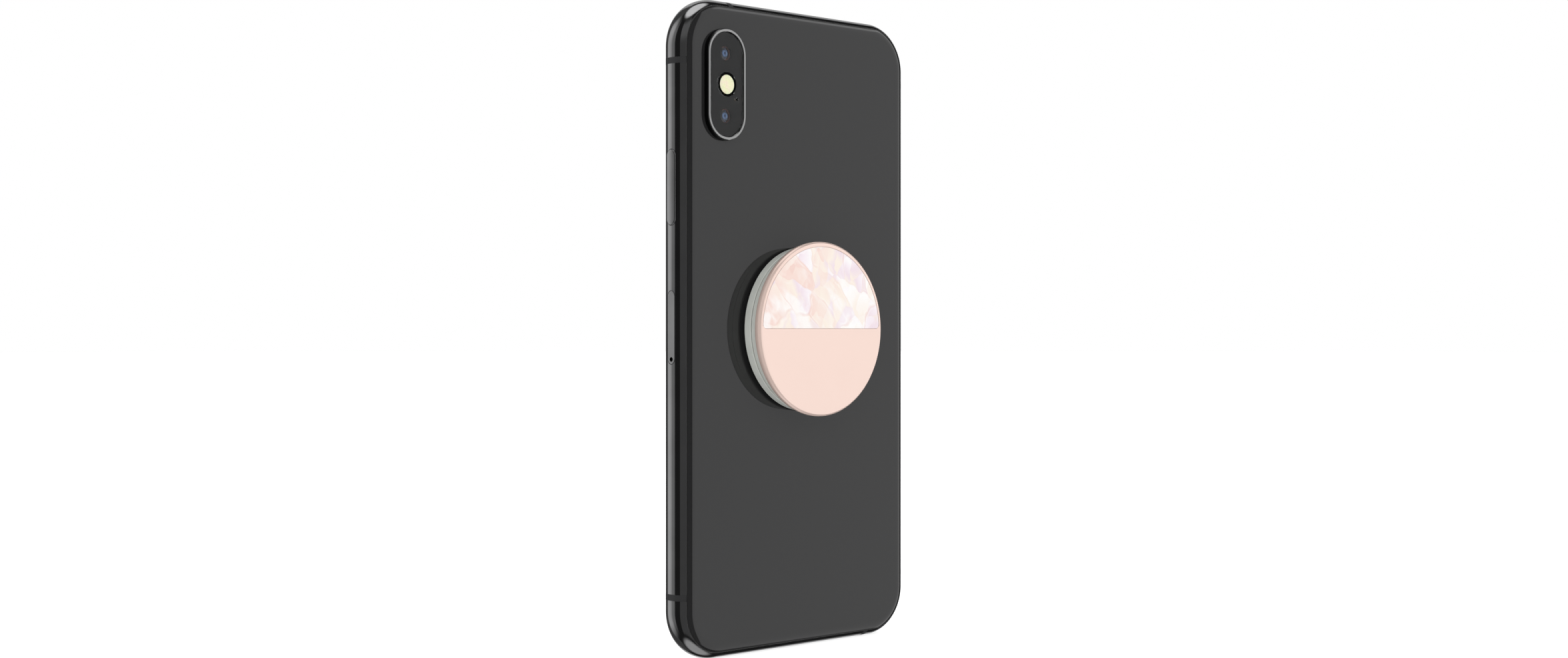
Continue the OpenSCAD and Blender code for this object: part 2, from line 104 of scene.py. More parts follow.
@dataclass(frozen=True)
class Outline:
    """A rectangle with round corners, or a stadium or circle where the radius reaches the half width."""

    half_u: float
    half_v: float
    radius: float
    centre: Point2 = (0.0, 0.0)
    steps: int = 16

    def ring(self, inset: float) -> list[Point2]:
        """Points round the outline, moved in by a distance.

        Args:
            inset: How far in from the outline, less than its radius.

        Returns:
            The points, anticlockwise, the same number for every inset.
        """
        radius = max(self.radius - inset, 1e-4)
        corner_u, corner_v = self.half_u - self.radius, self.half_v - self.radius
        points = []
        for quarter, (side_u, side_v) in enumerate(((1, 1), (-1, 1), (-1, -1), (1, -1))):
            for i in range(self.steps + 1):
                angle = math.pi / 2 * (quarter + i / self.steps)
                u = self.centre[0] + side_u * corner_u + radius * math.cos(angle)
                v = self.centre[1] + side_v * corner_v + radius * math.sin(angle)
                points.append((u, v))
        return points


def circle(radius: float, centre: Point2 = (0.0, 0.0), steps: int = 12) -> Outline:
    """A round outline with four times that many steps."""
    return Outline(radius, radius, radius, centre, steps)


def stadium(half_u: float, half_v: float, centre: Point2 = (0.0, 0.0), steps: int = 12) -> Outline:
    """An outline with two fully round ends."""
    return Outline(half_u, half_v, min(half_u, half_v), centre, steps)


def arc(centre: Point2, radius: float, start: float, end: float, steps: int = 5) -> list[Point2]:
    """Points on an arc, both ends included.

    Args:
        centre: The arc's centre.
        radius: The arc's radius.
        start: Start angle in degrees.
        end: End angle in degrees.
        steps: Number of steps.

    Returns:
        The points.
    """
    angles = [math.radians(start + (end - start) * i / steps) for i in range(steps + 1)]
    return [(centre[0] + radius * math.cos(a), centre[1] + radius * math.sin(a)) for a in angles]


def rounded(corners: Sequence[Point3], steps: int = 5) -> list[Point2]:
    """Rounds the corners of a closed section.

    Args:
        corners: Points of the section with the radius that each gets, 0 for a sharp one.
        steps: Steps in each rounding.

    Returns:
        The rounded section.
    """
    points: list[Point2] = []
    count = len(corners)
    for i, (x, y, radius) in enumerate(corners):
        here = Vector((x, y))
        before = Vector(corners[i - 1][:2]) - here
        after = Vector(corners[(i + 1) % count][:2]) - here
        if radius <= 0:
            points.append((x, y))
            continue
        half = before.angle(after) / 2
        reach = min(radius / math.tan(half), before.length * 0.49, after.length * 0.49)
        first, last = here + before.normalized() * reach, here + after.normalized() * reach
        for k in range(steps + 1):
            t = k / steps
            point = first * (1 - t) ** 2 + here * 2 * t * (1 - t) + last * t**2
            points.append((point.x, point.y))
    return points


# ---------------------------------------------------------------- meshes


def new_object(name: str, mesh: bpy.types.Mesh) -> bpy.types.Object:
    """Links a mesh into the scene as an object at the origin.

    Args:
        name: The object's name.
        mesh: The mesh.

    Returns:
        The new object.
    """
    made = bpy.data.objects.new(name, mesh)
    bpy.context.scene.collection.objects.link(made)
    return made


def smooth(mesh: bpy.types.Mesh, angle: float = 28.0) -> None:
    """Shades a mesh smooth, except over edges sharper than an angle in degrees."""
    mesh.shade_smooth()
    mesh.set_sharp_from_angle(angle=math.radians(angle))


def finished(bm: bmesh.types.BMesh, name: str) -> bpy.types.Object:
    """Closes a bmesh's seams, turns its faces outwards and makes it an object.

    Args:
        bm: The bmesh, which is freed.
        name: The object's name.

    Returns:
        The new object, shaded smooth.
    """
    bmesh.ops.remove_doubles(bm, verts=bm.verts, dist=2e-7)
    bmesh.ops.recalc_face_normals(bm, faces=bm.faces)
    mesh = bpy.data.meshes.new(name)
    bm.to_mesh(mesh)
    bm.free()
    smooth(mesh)
    return new_object(name, mesh)


def skin(bm: bmesh.types.BMesh, rings: Sequence[Sequence[Vector]], closed: bool) -> None:
    """Lays faces between rings of points.

    Args:
        bm: The bmesh that gets them.
        rings: The rings, each with the same number of points.
        closed: Whether the last ring joins the first. Otherwise both are capped.
    """
    made = [[bm.verts.new(point) for point in ring] for ring in rings]
    pairs = list(zip(made, made[1:]))
    if closed:
        pairs.append((made[-1], made[0]))
    else:
        bm.faces.new(made[0])
        bm.faces.new(made[-1])
    for low, high in pairs:
        for i in range(len(low)):
            j = (i + 1) % len(low)
            bm.faces.new((low[i], low[j], high[j], high[i]))


def sweep(
    name: str,
    outline: Outline,
    section: Sequence[Point2],
    facing: Facing = Facing.REAR,
    closed: bool = True,
) -> bpy.types.Object:
    """Sweeps a section round an outline.

    Args:
        name: The piece's name.
        outline: The outline.
        section: Points of inset from the outline and depth.
        facing: The way the sketch faces.
        closed: Whether the section closes on itself, as in a ring. Otherwise both ends are capped.

    Returns:
        The new object.
    """
    bm = bmesh.new()
    rings = [[facing.point(u, v, y) for u, v in outline.ring(inset)] for inset, y in section]
    skin(bm, rings, closed)
    return finished(bm, name)


def plate(
    name: str,
    outline: Outline,
    low: float,
    high: float,
    edge: float,
    facing: Facing = Facing.REAR,
    crown: float = 0.0,
) -> bpy.types.Object:
    """A flat or slightly crowned piece with rounded edges on both faces.

    Args:
        name: The piece's name.
        outline: Its outline.
        low: Depth of its inner face.
        high: Depth of its outer face.
        edge: Radius of its edges.
        facing: The way it faces.
        crown: How much further its middle stands out than its edge.

    Returns:
        The new object.
    """
    land = outline.radius * 0.92
    top = high - crown
    section = [(land, low)]
    section += arc((edge, low + edge), edge, 270, 180)
    section += arc((edge, top - edge), edge, 180, 90)
    for share in (0.25, 0.5, 0.75, 1.0):
        section.append((edge + (land - edge) * share, high - crown * (1 - share) ** 2))
    return sweep(name, outline, section, facing, closed=False)


def turned(name: str, section: Sequence[Point2], centre: Point2, steps: int = 96) -> bpy.types.Object:
    """Turns a closed section about an axis along Y.

    Args:
        name: The piece's name.
        section: Points of radius and Y. Two of them may lie on the axis, with nothing between them.
        centre: X and Z of the axis.
        steps: Steps round the axis.

    Returns:
        The new object.
    """
    bm = bmesh.new()
    rings = []
    for radius, y in section:
        angles = [2 * math.pi * i / steps for i in range(steps)]
        r = max(radius, 1e-5)
        rings.append(
            [Vector((centre[0] + r * math.cos(a), y, centre[1] + r * math.sin(a))) * MM for a in angles]
        )
    touches_axis = section[0][0] < 1e-3 and section[-1][0] < 1e-3
    skin(bm, rings, closed=not touches_axis)
    return finished(bm, name)


def block(name: str, low: Sequence[float], high: Sequence[float]) -> bpy.types.Object:
    """A plain block between two corners, used as a cutter or as stock for a shaped piece.

    Args:
        name: The block's name.
        low: Its lowest corner.
        high: Its highest corner.

    Returns:
        The new object.
    """
    bm = bmesh.new()
    bmesh.ops.create_cube(bm, size=1.0)
    size = (Vector(high) - Vector(low)) * MM
    centre = (Vector(high) + Vector(low)) / 2 * MM
    bmesh.ops.transform(bm, matrix=Matrix.Translation(centre) @ Matrix.Diagonal((*size, 1)), verts=bm.verts)
    return finished(bm, name)


def prism(outline: Outline, low: float, high: float, facing: Facing = Facing.REAR) -> bpy.types.Object:
    """A straight-sided cutter with an outline, between two depths."""
    return sweep("cutter", outline, [(0.0, low), (0.0, high)], facing, closed=False)


def evaluated(piece: bpy.types.Object) -> bpy.types.Object:
    """Applies a piece's modifiers to its mesh and removes them.

    Args:
        piece: The piece.

    Returns:
        The same piece, with a plain mesh.
    """
    bpy.context.view_layer.update()
    graph = bpy.context.evaluated_depsgraph_get()
    made = bpy.data.meshes.new_from_object(piece.evaluated_get(graph))
    piece.modifiers.clear()
    piece.data = made
    return piece


def carve(
    piece: bpy.types.Object, cutters: Iterable[bpy.types.Object], keep: bool = False
) -> bpy.types.Object:
    """Cuts shapes out of a piece, or keeps only what lies in them.

    Args:
        piece: The piece.
        cutters: The cutting objects, which are removed afterwards.
        keep: Whether to keep the common part instead.

    Returns:
        The piece.
    """
    tools = bpy.data.collections.new("cutters")
    bpy.context.scene.collection.children.link(tools)
    members = list(cutters)
    for cutter in members:
        bpy.context.scene.collection.objects.unlink(cutter)
        tools.objects.link(cutter)
    change = piece.modifiers.new("carve", "BOOLEAN")
    change.operation = "INTERSECT" if keep else "DIFFERENCE"
    change.solver = "EXACT"
    if keep or len(members) == 1:
        change.operand_type = "OBJECT"
        change.object = merged("cutter_set", members) if len(members) > 1 else members[0]
    else:
        change.operand_type = "COLLECTION"
        change.collection = tools
    evaluated(piece)
    if keep and len(members) > 1:
        bpy.data.objects.remove(bpy.data.objects["cutter_set"])
    for cutter in members:
        if cutter.name in bpy.data.objects:
            bpy.data.objects.remove(cutter)
    bpy.data.collections.remove(tools)
    smooth(piece.data)
    return piece


def merged(name: str, pieces: Sequence[bpy.types.Object]) -> bpy.types.Object:
    """Puts the shells of several objects into one mesh, without removing the objects.

    Args:
        name: The new object's name.
        pieces: The objects.

    Returns:
        The new object.
    """
    bm = bmesh.new()
    for piece in pieces:
        bm.from_mesh(piece.data)
    mesh = bpy.data.meshes.new(name)
    bm.to_mesh(mesh)
    bm.free()
    return new_object(name, mesh)


def joined(name: str, pieces: Sequence[bpy.types.Object]) -> bpy.types.Object:
    """Makes one piece of several shells.

    Args:
        name: The new piece's name.
        pieces: The objects, which are removed.

    Returns:
        The new piece, shaded smooth.
    """
    made = merged(name + "_set", pieces)
    for piece in pieces:
        bpy.data.objects.remove(piece)
    made.name = name
    smooth(made.data)
    return made


def edged(piece: bpy.types.Object, width: float, segments: int = 2, angle: float = 40.0) -> bpy.types.Object:
    """Rounds a piece's sharp edges.

    Args:
        piece: The piece.
        width: Width of the rounding.
        segments: Steps in the rounding.
        angle: Edges sharper than this, in degrees, are rounded.

    Returns:
        The piece.
    """
    change = piece.modifiers.new("edges", "BEVEL")
    change.width = width * MM
    change.segments = segments
    change.limit_method = "ANGLE"
    change.angle_limit = math.radians(angle)
    change.use_clamp_overlap = True
    change.harden_normals = False
    evaluated(piece)
    smooth(piece.data, 50)
    return weighed(piece)


def weighed(piece: bpy.types.Object) -> bpy.types.Object:
    """Keeps flats flat where they meet round edges, by weighting a piece's normals by face area.

    Args:
        piece: The piece.

    Returns:
        The same piece.
    """
    change = piece.modifiers.new("weigh", "WEIGHTED_NORMAL")
    change.keep_sharp = True
    return evaluated(piece)


def refined(node: str, name: str, width: float, segments: int = 2) -> bpy.types.Object:
    """A copy of a CAD node with its seams merged and its sharp edges rounded.

    Args:
        node: The CAD node.
        name: The new piece's name.
        width: Width of the rounding.
        segments: Steps in the rounding.

    Returns:
        The new object.
    """
    bm = bmesh.new()
    bm.from_mesh(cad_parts[node].data)
    bmesh.ops.remove_doubles(bm, verts=bm.verts, dist=2e-6)
    bmesh.ops.dissolve_limit(bm, angle_limit=math.radians(1), verts=bm.verts, edges=bm.edges)
    return edged(finished(bm, name), width, segments)


# ---------------------------------------------------------------- shader nodes


class Nodes:
    """A shader node tree, with short calls for the nodes that the finishes and the studio use."""

    def __init__(self, tree: bpy.types.NodeTree) -> None:
        """Takes a tree and empties it."""
        self.tree = tree
        self.tree.nodes.clear()

    def feed(self, socket: Socket, value: object) -> None:
        """Sets a socket to a constant, or links another node's output to it.

        Args:
            socket: The input.
            value: The constant, or the output of another node.
        """
        if isinstance(value, Socket):
            self.tree.links.new(value, socket)
        elif isinstance(value, tuple) and socket.type == "RGBA":
            socket.default_value = (*value, 1.0)
        else:
            socket.default_value = value

    def node(self, kind: str, *values: object, **options: object) -> bpy.types.Node:
        """Adds a node, sets its options and feeds its inputs in order.

        Args:
            kind: The node's type, without its ShaderNode prefix.
            values: Constants or sockets for its inputs. None leaves one as it is.
            options: The node's own properties.

        Returns:
            The node.
        """
        made = self.tree.nodes.new("ShaderNode" + kind)
        for option, value in options.items():
            setattr(made, option, value)
        for socket, value in zip(made.inputs, values):
            if value is not None:
                self.feed(socket, value)
        return made

    def coords(
        self, scale: Point3 = (1.0, 1.0, 1.0), centre: Point3 = (0.0, 0.0, 0.0), turn: Point3 = (0.0, 0.0, 0.0)
    ) -> Socket:
        """Object coordinates in millimetres about a centre.

        Args:
            scale: Scale on each axis, after the turn.
            centre: The point that becomes the origin.
            turn: Turn about each axis, in degrees.

        Returns:
            The vector.
        """
        source = self.node("TexCoord").outputs["Object"]
        metres = tuple(c * MM for c in centre)
        shifted = self.node("VectorMath", source, metres, operation="SUBTRACT").outputs[0]
        grown = self.node("VectorMath", shifted, (1 / MM,) * 3, operation="MULTIPLY").outputs[0]
        mapping = self.node("Mapping", grown, vector_type="TEXTURE")
        mapping.inputs["Rotation"].default_value = [math.radians(a) for a in turn]
        mapping.inputs["Scale"].default_value = [1 / max(share, 1e-6) for share in scale]
        return mapping.outputs[0]

    def noise(
        self, vector: Socket, scale: float, detail: float = 3.0, roughness: float = 0.5, distortion: float = 0.0
    ) -> Socket:
        """Noise between 0 and 1, with a scale in cycles per millimetre.

        Args:
            vector: The coordinates.
            scale: Cycles per millimetre.
            detail: Number of finer layers.
            roughness: Strength of each finer layer.
            distortion: How far the pattern is drawn about.

        Returns:
            The noise.
        """
        made = self.node("TexNoise", vector)
        sizes = {"Scale": scale, "Detail": detail, "Roughness": roughness, "Distortion": distortion}
        for name, value in sizes.items():
            made.inputs[name].default_value = value
        return made.outputs[0]

    def cells(self, vector: Socket, scale: float, feature: str = "F1", metric: str = "EUCLIDEAN") -> bpy.types.Node:
        """A Voronoi texture, with a scale in cells per millimetre.

        Args:
            vector: The coordinates.
            scale: Cells per millimetre.
            feature: What the texture measures.
            metric: How it measures distance.

        Returns:
            The node.
        """
        made = self.node("TexVoronoi", vector, feature=feature)
        if feature != "DISTANCE_TO_EDGE":
            made.distance = metric
        made.inputs["Scale"].default_value = scale
        return made

    def math(self, operation: str, *values: object) -> Socket:
        """A math node on up to three values."""
        return self.node("Math", *values, operation=operation).outputs[0]

    def remap(self, value: Socket, low: float, high: float, to_low: float = 0.0, to_high: float = 1.0) -> Socket:
        """Maps a range softly to another, and holds it at the ends."""
        return self.node("MapRange", value, low, high, to_low, to_high, interpolation_type="SMOOTHSTEP").outputs[0]

    def fade(self, distance: Socket, edge: float, softness: float) -> Socket:
        """1 within an edge and 0 beyond it, with a soft step between."""
        return self.remap(distance, edge - softness / 2, edge + softness / 2, 1.0, 0.0)

    def ramp(self, value: Socket, *stops: tuple[float, Colour]) -> Socket:
        """A colour ramp through stops of position and colour.

        Args:
            value: The position on the ramp.
            stops: The stops, in order of position.

        Returns:
            The colour.
        """
        made = self.node("ValToRGB", value)
        elements = made.color_ramp.elements
        while len(elements) < len(stops):
            elements.new(0.5)
        for element, (position, colour) in zip(elements, stops):
            element.position = position
            element.color = (*colour, 1.0)
        return made.outputs[0]

    def mix(self, share: object, first: object, second: object) -> Socket:
        """Mixes two colours by a share.

        Args:
            share: Share of the second colour.
            first: The first colour.
            second: The second colour.

        Returns:
            The mixed colour.
        """
        made = self.node("Mix", data_type="RGBA")
        for index, value in ((0, share), (6, first), (7, second)):
            self.feed(made.inputs[index], value)
        return made.outputs[2]

    def parts(self, vector: Socket) -> tuple[Socket, ...]:
        """X, Y and Z of a vector."""
        return tuple(self.node("SeparateXYZ", vector).outputs)

    def hypot(self, a: Socket, b: Socket) -> Socket:
        """Length of two legs at a right angle."""
        return self.math("SQRT", self.math("ADD", self.math("POWER", a, 2.0), self.math("POWER", b, 2.0)))

    def radius(self, x: float, z: float) -> Socket:
        """Distance in millimetres from an axis along Y."""
        across, _, up = self.parts(self.coords(centre=(x, 0.0, z)))
        return self.hypot(across, up)

    def beyond(self, half_x: float, half_z: float, corner: float, centre: Point2) -> Socket:
        """Distance out of a rounded rectangle in X and Z, as a signed field that is negative inside it.

        Args:
            half_x: Half its width.
            half_z: Half its height.
            corner: Its corners' radius.
            centre: X and Z of its centre.

        Returns:
            The distance in millimetres.
        """
        across, _, up = self.parts(self.coords(centre=(centre[0], 0.0, centre[1])))
        out_x = self.math("SUBTRACT", self.math("ABSOLUTE", across), half_x - corner)
        out_z = self.math("SUBTRACT", self.math("ABSOLUTE", up), half_z - corner)
        outside = self.hypot(self.math("MAXIMUM", out_x, 0.0), self.math("MAXIMUM", out_z, 0.0))
        inside = self.math("MINIMUM", self.math("MAXIMUM", out_x, out_z), 0.0)
        return self.math("SUBTRACT", self.math("ADD", outside, inside), corner)

    def bump(self, height: Socket, depth: float, over: Optional[Socket] = None) -> Socket:
        """A bump from a height field.

        Args:
            height: The field.
            depth: How deep a change of 1 in the field is, in millimetres.
            over: Another bump that this one lies on.

        Returns:
            The normal.
        """
        made = self.node("Bump")
        made.inputs["Strength"].default_value = 1.0
        made.inputs["Distance"].default_value = depth * MM
        self.tree.links.new(height, made.inputs["Height"])
        if over is not None:
            self.tree.links.new(over, made.inputs["Normal"])
        return made.outputs[0]


class Shader(Nodes):
    """A material with one Principled surface."""

    def __init__(self, name: str) -> None:
        """Makes the material.

        Args:
            name: The material's name.
        """
        self.material = bpy.data.materials.new(name)
        self.material.use_nodes = True
        super().__init__(self.material.node_tree)
        self.surface = self.tree.nodes.new("ShaderNodeBsdfPrincipled")
        output = self.tree.nodes.new("ShaderNodeOutputMaterial")
        self.tree.links.new(self.surface.outputs[0], output.inputs[0])

    def set(self, **sockets: object) -> None:
        """Sets or links the surface's sockets.

        Args:
            sockets: Constants or outputs, by the socket's name in lower case with underscores.
        """
        named = {s.name.lower().replace(" ", "_"): s for s in self.surface.inputs}
        for name, value in sockets.items():
            self.feed(named[name], value)


def toned(colour: Colour, factor: float) -> Colour:
    """A colour made darker or lighter by a factor."""
    return tuple(min(1.0, c * factor) for c in colour)


# ---------------------------------------------------------------- finishes


@dataclass(frozen=True)
class Metal:
    """Polished, brushed or stamped metal, with fine lay lines and a faint cloud of handling."""

    name: str
    slot: str
    colour: Colour
    roughness: float = 0.12
    lay: Point3 = (0.6, 0.6, 9.0)
    lay_depth: float = 0.0004
    coat: float = 0.0

    def material(self) -> bpy.types.Material:
        """Builds the material.

        Returns:
            The material.
        """
        s = Shader(self.name)
        lines = s.noise(s.coords(self.lay), 1.0, 2.0)
        cloud = s.noise(s.coords(), 0.16, 4.0)
        haze = s.remap(cloud, 0.35, 0.7, self.roughness * 0.85, self.roughness * 1.2)
        s.set(
            metallic=1.0,
            base_color=s.mix(s.remap(cloud, 0.3, 0.7), toned(self.colour, 0.95), toned(self.colour, 1.05)),
            roughness=s.math("ADD", haze, s.remap(lines, 0.35, 0.7, 0.0, self.roughness * 0.2)),
            normal=s.bump(lines, self.lay_depth),
            coat_weight=self.coat,
        )
        return s.material


@dataclass(frozen=True)
class Moulding:
    """Moulded plastic or rubber with a fine spark-eroded grain."""

    name: str
    slot: str
    colour: Colour
    roughness: float = 0.5
    grain: float = 8.0
    grain_depth: float = 0.003
    scatter: float = 0.0
    coat: float = 0.0
    specular: float = 0.5

    def material(self) -> bpy.types.Material:
        """Builds the material.

        Returns:
            The material.
        """
        s = Shader(self.name)
        fine = s.noise(s.coords(), self.grain, 2.0)
        cloud = s.noise(s.coords(), 0.22, 3.0)
        s.set(
            base_color=s.mix(s.remap(cloud, 0.3, 0.7), toned(self.colour, 0.95), toned(self.colour, 1.05)),
            roughness=s.remap(fine, 0.3, 0.7, self.roughness * 0.92, self.roughness * 1.08),
            normal=s.bump(fine, self.grain_depth),
            subsurface_weight=self.scatter,
            subsurface_radius=(1.0, 0.9, 0.8),
            subsurface_scale=0.0006,
            coat_weight=self.coat,
            coat_roughness=0.08,
            specular_ior_level=self.specular,
        )
        return s.material


@dataclass(frozen=True)
class DarkGlass:
    """Polished glass over an opaque dark print, with the faint smear of handling."""

    name: str
    slot: str
    colour: Colour
    ior: float = 1.5
    haze: float = 0.015

    def material(self) -> bpy.types.Material:
        """Builds the material.

        Returns:
            The material.
        """
        s = Shader(self.name)
        smear = s.noise(s.coords((1.0, 1.0, 0.5)), 0.03, 3.0, 0.5, 0.8)
        speck = s.noise(s.coords(), 1.5, 1.0)
        s.set(
            base_color=s.mix(s.remap(speck, 0.3, 0.7), toned(self.colour, 0.985), toned(self.colour, 1.015)),
            roughness=s.remap(smear, 0.4, 0.7, self.haze, self.haze * 1.6),
            ior=self.ior,
        )
        return s.material


@dataclass(frozen=True)
class DisplayGlass:
    """Front glass over an unlit display: the active area is a shade lighter than its printed border."""

    name: str = "front_glass"
    slot: str = "front_glass"
    half_width: float = 31.2
    half_height: float = 67.55
    corner: float = 6.5
    notch_half: float = 18.0
    notch_bottom: float = 133.9
    sensors: tuple[tuple[float, float], ...] = ((9.2, 1.5), (-14.6, 1.7), (14.4, 1.3))
    sensor_z: float = 137.9

    def material(self) -> bpy.types.Material:
        """Builds the material.

        Returns:
            The material.
        """
        s = Shader(self.name)
        panel = s.beyond(self.half_width, self.half_height, self.corner, (0.0, MID_Z))
        reach = HEIGHT - self.notch_bottom
        notch = s.beyond(self.notch_half, reach, 3.0, (0.0, self.notch_bottom + reach))
        lit = s.math("MAXIMUM", panel, s.math("MULTIPLY", notch, -1.0))
        active = s.remap(lit, -0.06, 0.06, 1.0, 0.0)
        grid = s.cells(s.coords(), 9.0, metric="CHEBYCHEV").outputs["Distance"]
        glow = s.remap(grid, 0.0, 0.6, 0.85, 1.0)
        colour = s.mix(s.math("MULTIPLY", active, glow), (0.0022, 0.0022, 0.0026), (0.0075, 0.0078, 0.0095))
        for x, radius in self.sensors:
            pupil = s.remap(s.radius(x, self.sensor_z), radius - 0.1, radius + 0.1, 1.0, 0.0)
            colour = s.mix(pupil, colour, (0.012, 0.009, 0.016))
        smear = s.noise(s.coords((1.0, 1.0, 0.5)), 0.05, 5.0, 0.6, 1.6)
        s.set(base_color=colour, ior=1.5, roughness=s.remap(smear, 0.42, 0.72, 0.012, 0.04))
        return s.material


@dataclass(frozen=True)
class ClearGlass:
    """Clear, coated cover glass that shows what lies under it."""

    name: str
    slot: str
    ior: float = 1.25

    def material(self) -> bpy.types.Material:
        """Builds the material.

        Returns:
            The material.
        """
        s = Shader(self.name)
        smear = s.noise(s.coords(), 0.3, 4.0, 0.6, 1.0)
        s.set(
            base_color=s.mix(s.remap(smear, 0.3, 0.7), (0.97, 0.98, 1.0), (1.0, 1.0, 1.0)),
            roughness=s.remap(smear, 0.45, 0.75, 0.0, 0.012),
            transmission_weight=1.0,
            ior=self.ior,
        )
        return s.material


@dataclass(frozen=True)
class CoatedLens:
    """A coated lens element: a blue pupil in a dark field with a thin red-brown ring. A lighter ring in the pupil
    is a painted highlight, and a darker upright band across it is a painted reflection.
    """

    name: str
    slot: str
    centre: Point2
    radius: float

    def material(self) -> bpy.types.Material:
        """Builds the material.

        Returns:
            The material.
        """
        s = Shader(self.name)
        wander = s.noise(s.coords(), 1.1, 2.0)
        share = s.math("DIVIDE", s.radius(*self.centre), self.radius)
        share = s.math("ADD", share, s.remap(wander, 0.3, 0.7, -0.03, 0.03))
        # The lighter blue ring at about a quarter of the radius is a painted highlight on the coated glass.
        colour = s.ramp(
            share,
            (0.0, (0.022, 0.045, 0.11)),
            (0.14, (0.018, 0.04, 0.10)),
            (0.26, (0.12, 0.20, 0.34)),
            (0.40, (0.07, 0.13, 0.25)),
            (0.55, (0.006, 0.008, 0.016)),
            (0.80, (0.006, 0.006, 0.009)),
            (0.90, (0.21, 0.10, 0.075)),
            (1.0, (0.03, 0.02, 0.018)),
        )
        # A darker upright band through the pupil is a painted reflection, splitting the painted highlight into two
        # lobes.
        across = s.math("SUBTRACT", s.parts(s.coords())[0], self.centre[0] - 0.1)
        painted_reflection_band = s.fade(s.math("ABSOLUTE", across), 0.1, 0.12)
        colour = s.mix(s.math("MULTIPLY", painted_reflection_band, 0.75), colour, (0.012, 0.02, 0.05))
        s.set(
            base_color=colour,
            roughness=s.remap(wander, 0.3, 0.7, 0.03, 0.06),
            ior=1.5,
            specular_ior_level=0.3,
            coat_weight=0.15,
            coat_roughness=0.02,
            coat_tint=(0.7, 0.8, 1.0),
        )
        return s.material


@dataclass(frozen=True)
class Diffuser:
    """A cream, translucent flash diffuser, warmer in the middle."""

    name: str
    slot: str
    centre: Point2
    radius: float

    def material(self) -> bpy.types.Material:
        """Builds the material.

        Returns:
            The material.
        """
        s = Shader(self.name)
        share = s.math("DIVIDE", s.radius(*self.centre), self.radius)
        speck = s.noise(s.coords(), 5.0, 2.0)
        mottle = s.noise(s.coords(), 1.1, 2.0)
        warm = s.ramp(share, (0.0, (0.78, 0.72, 0.50)), (0.5, (0.75, 0.74, 0.44)), (0.95, (0.70, 0.72, 0.46)))
        warm = s.mix(s.remap(mottle, 0.5, 0.62, 0.0, 0.6), warm, (0.80, 0.66, 0.52))
        s.set(
            base_color=s.mix(s.remap(speck, 0.3, 0.7, 0.0, 0.25), warm, (0.76, 0.74, 0.56)),
            roughness=s.remap(speck, 0.3, 0.7, 0.22, 0.32),
            subsurface_weight=0.35,
            subsurface_radius=(1.0, 0.85, 0.5),
            subsurface_scale=0.0005,
            coat_weight=0.4,
            coat_roughness=0.05,
        )
        return s.material


@dataclass(frozen=True)
class RoseGold:
    """Satin rose gold anodising, with the thinnest of cloudy tone and no visible lay."""

    name: str
    slot: str
    colour: Colour
    roughness: float
    metallic: float

    def material(self) -> bpy.types.Material:
        """Builds the material.

        Returns:
            The material.
        """
        s = Shader(self.name)
        cloud = s.noise(s.coords(), 0.05, 3.0)
        fine = s.noise(s.coords(), 14.0, 1.0)
        s.set(
            metallic=self.metallic,
            base_color=s.mix(s.remap(cloud, 0.3, 0.7), toned(self.colour, 0.985), self.colour),
            roughness=s.remap(fine, 0.3, 0.7, self.roughness * 0.95, self.roughness * 1.05),
            normal=s.bump(fine, 0.0006),
        )
        return s.material


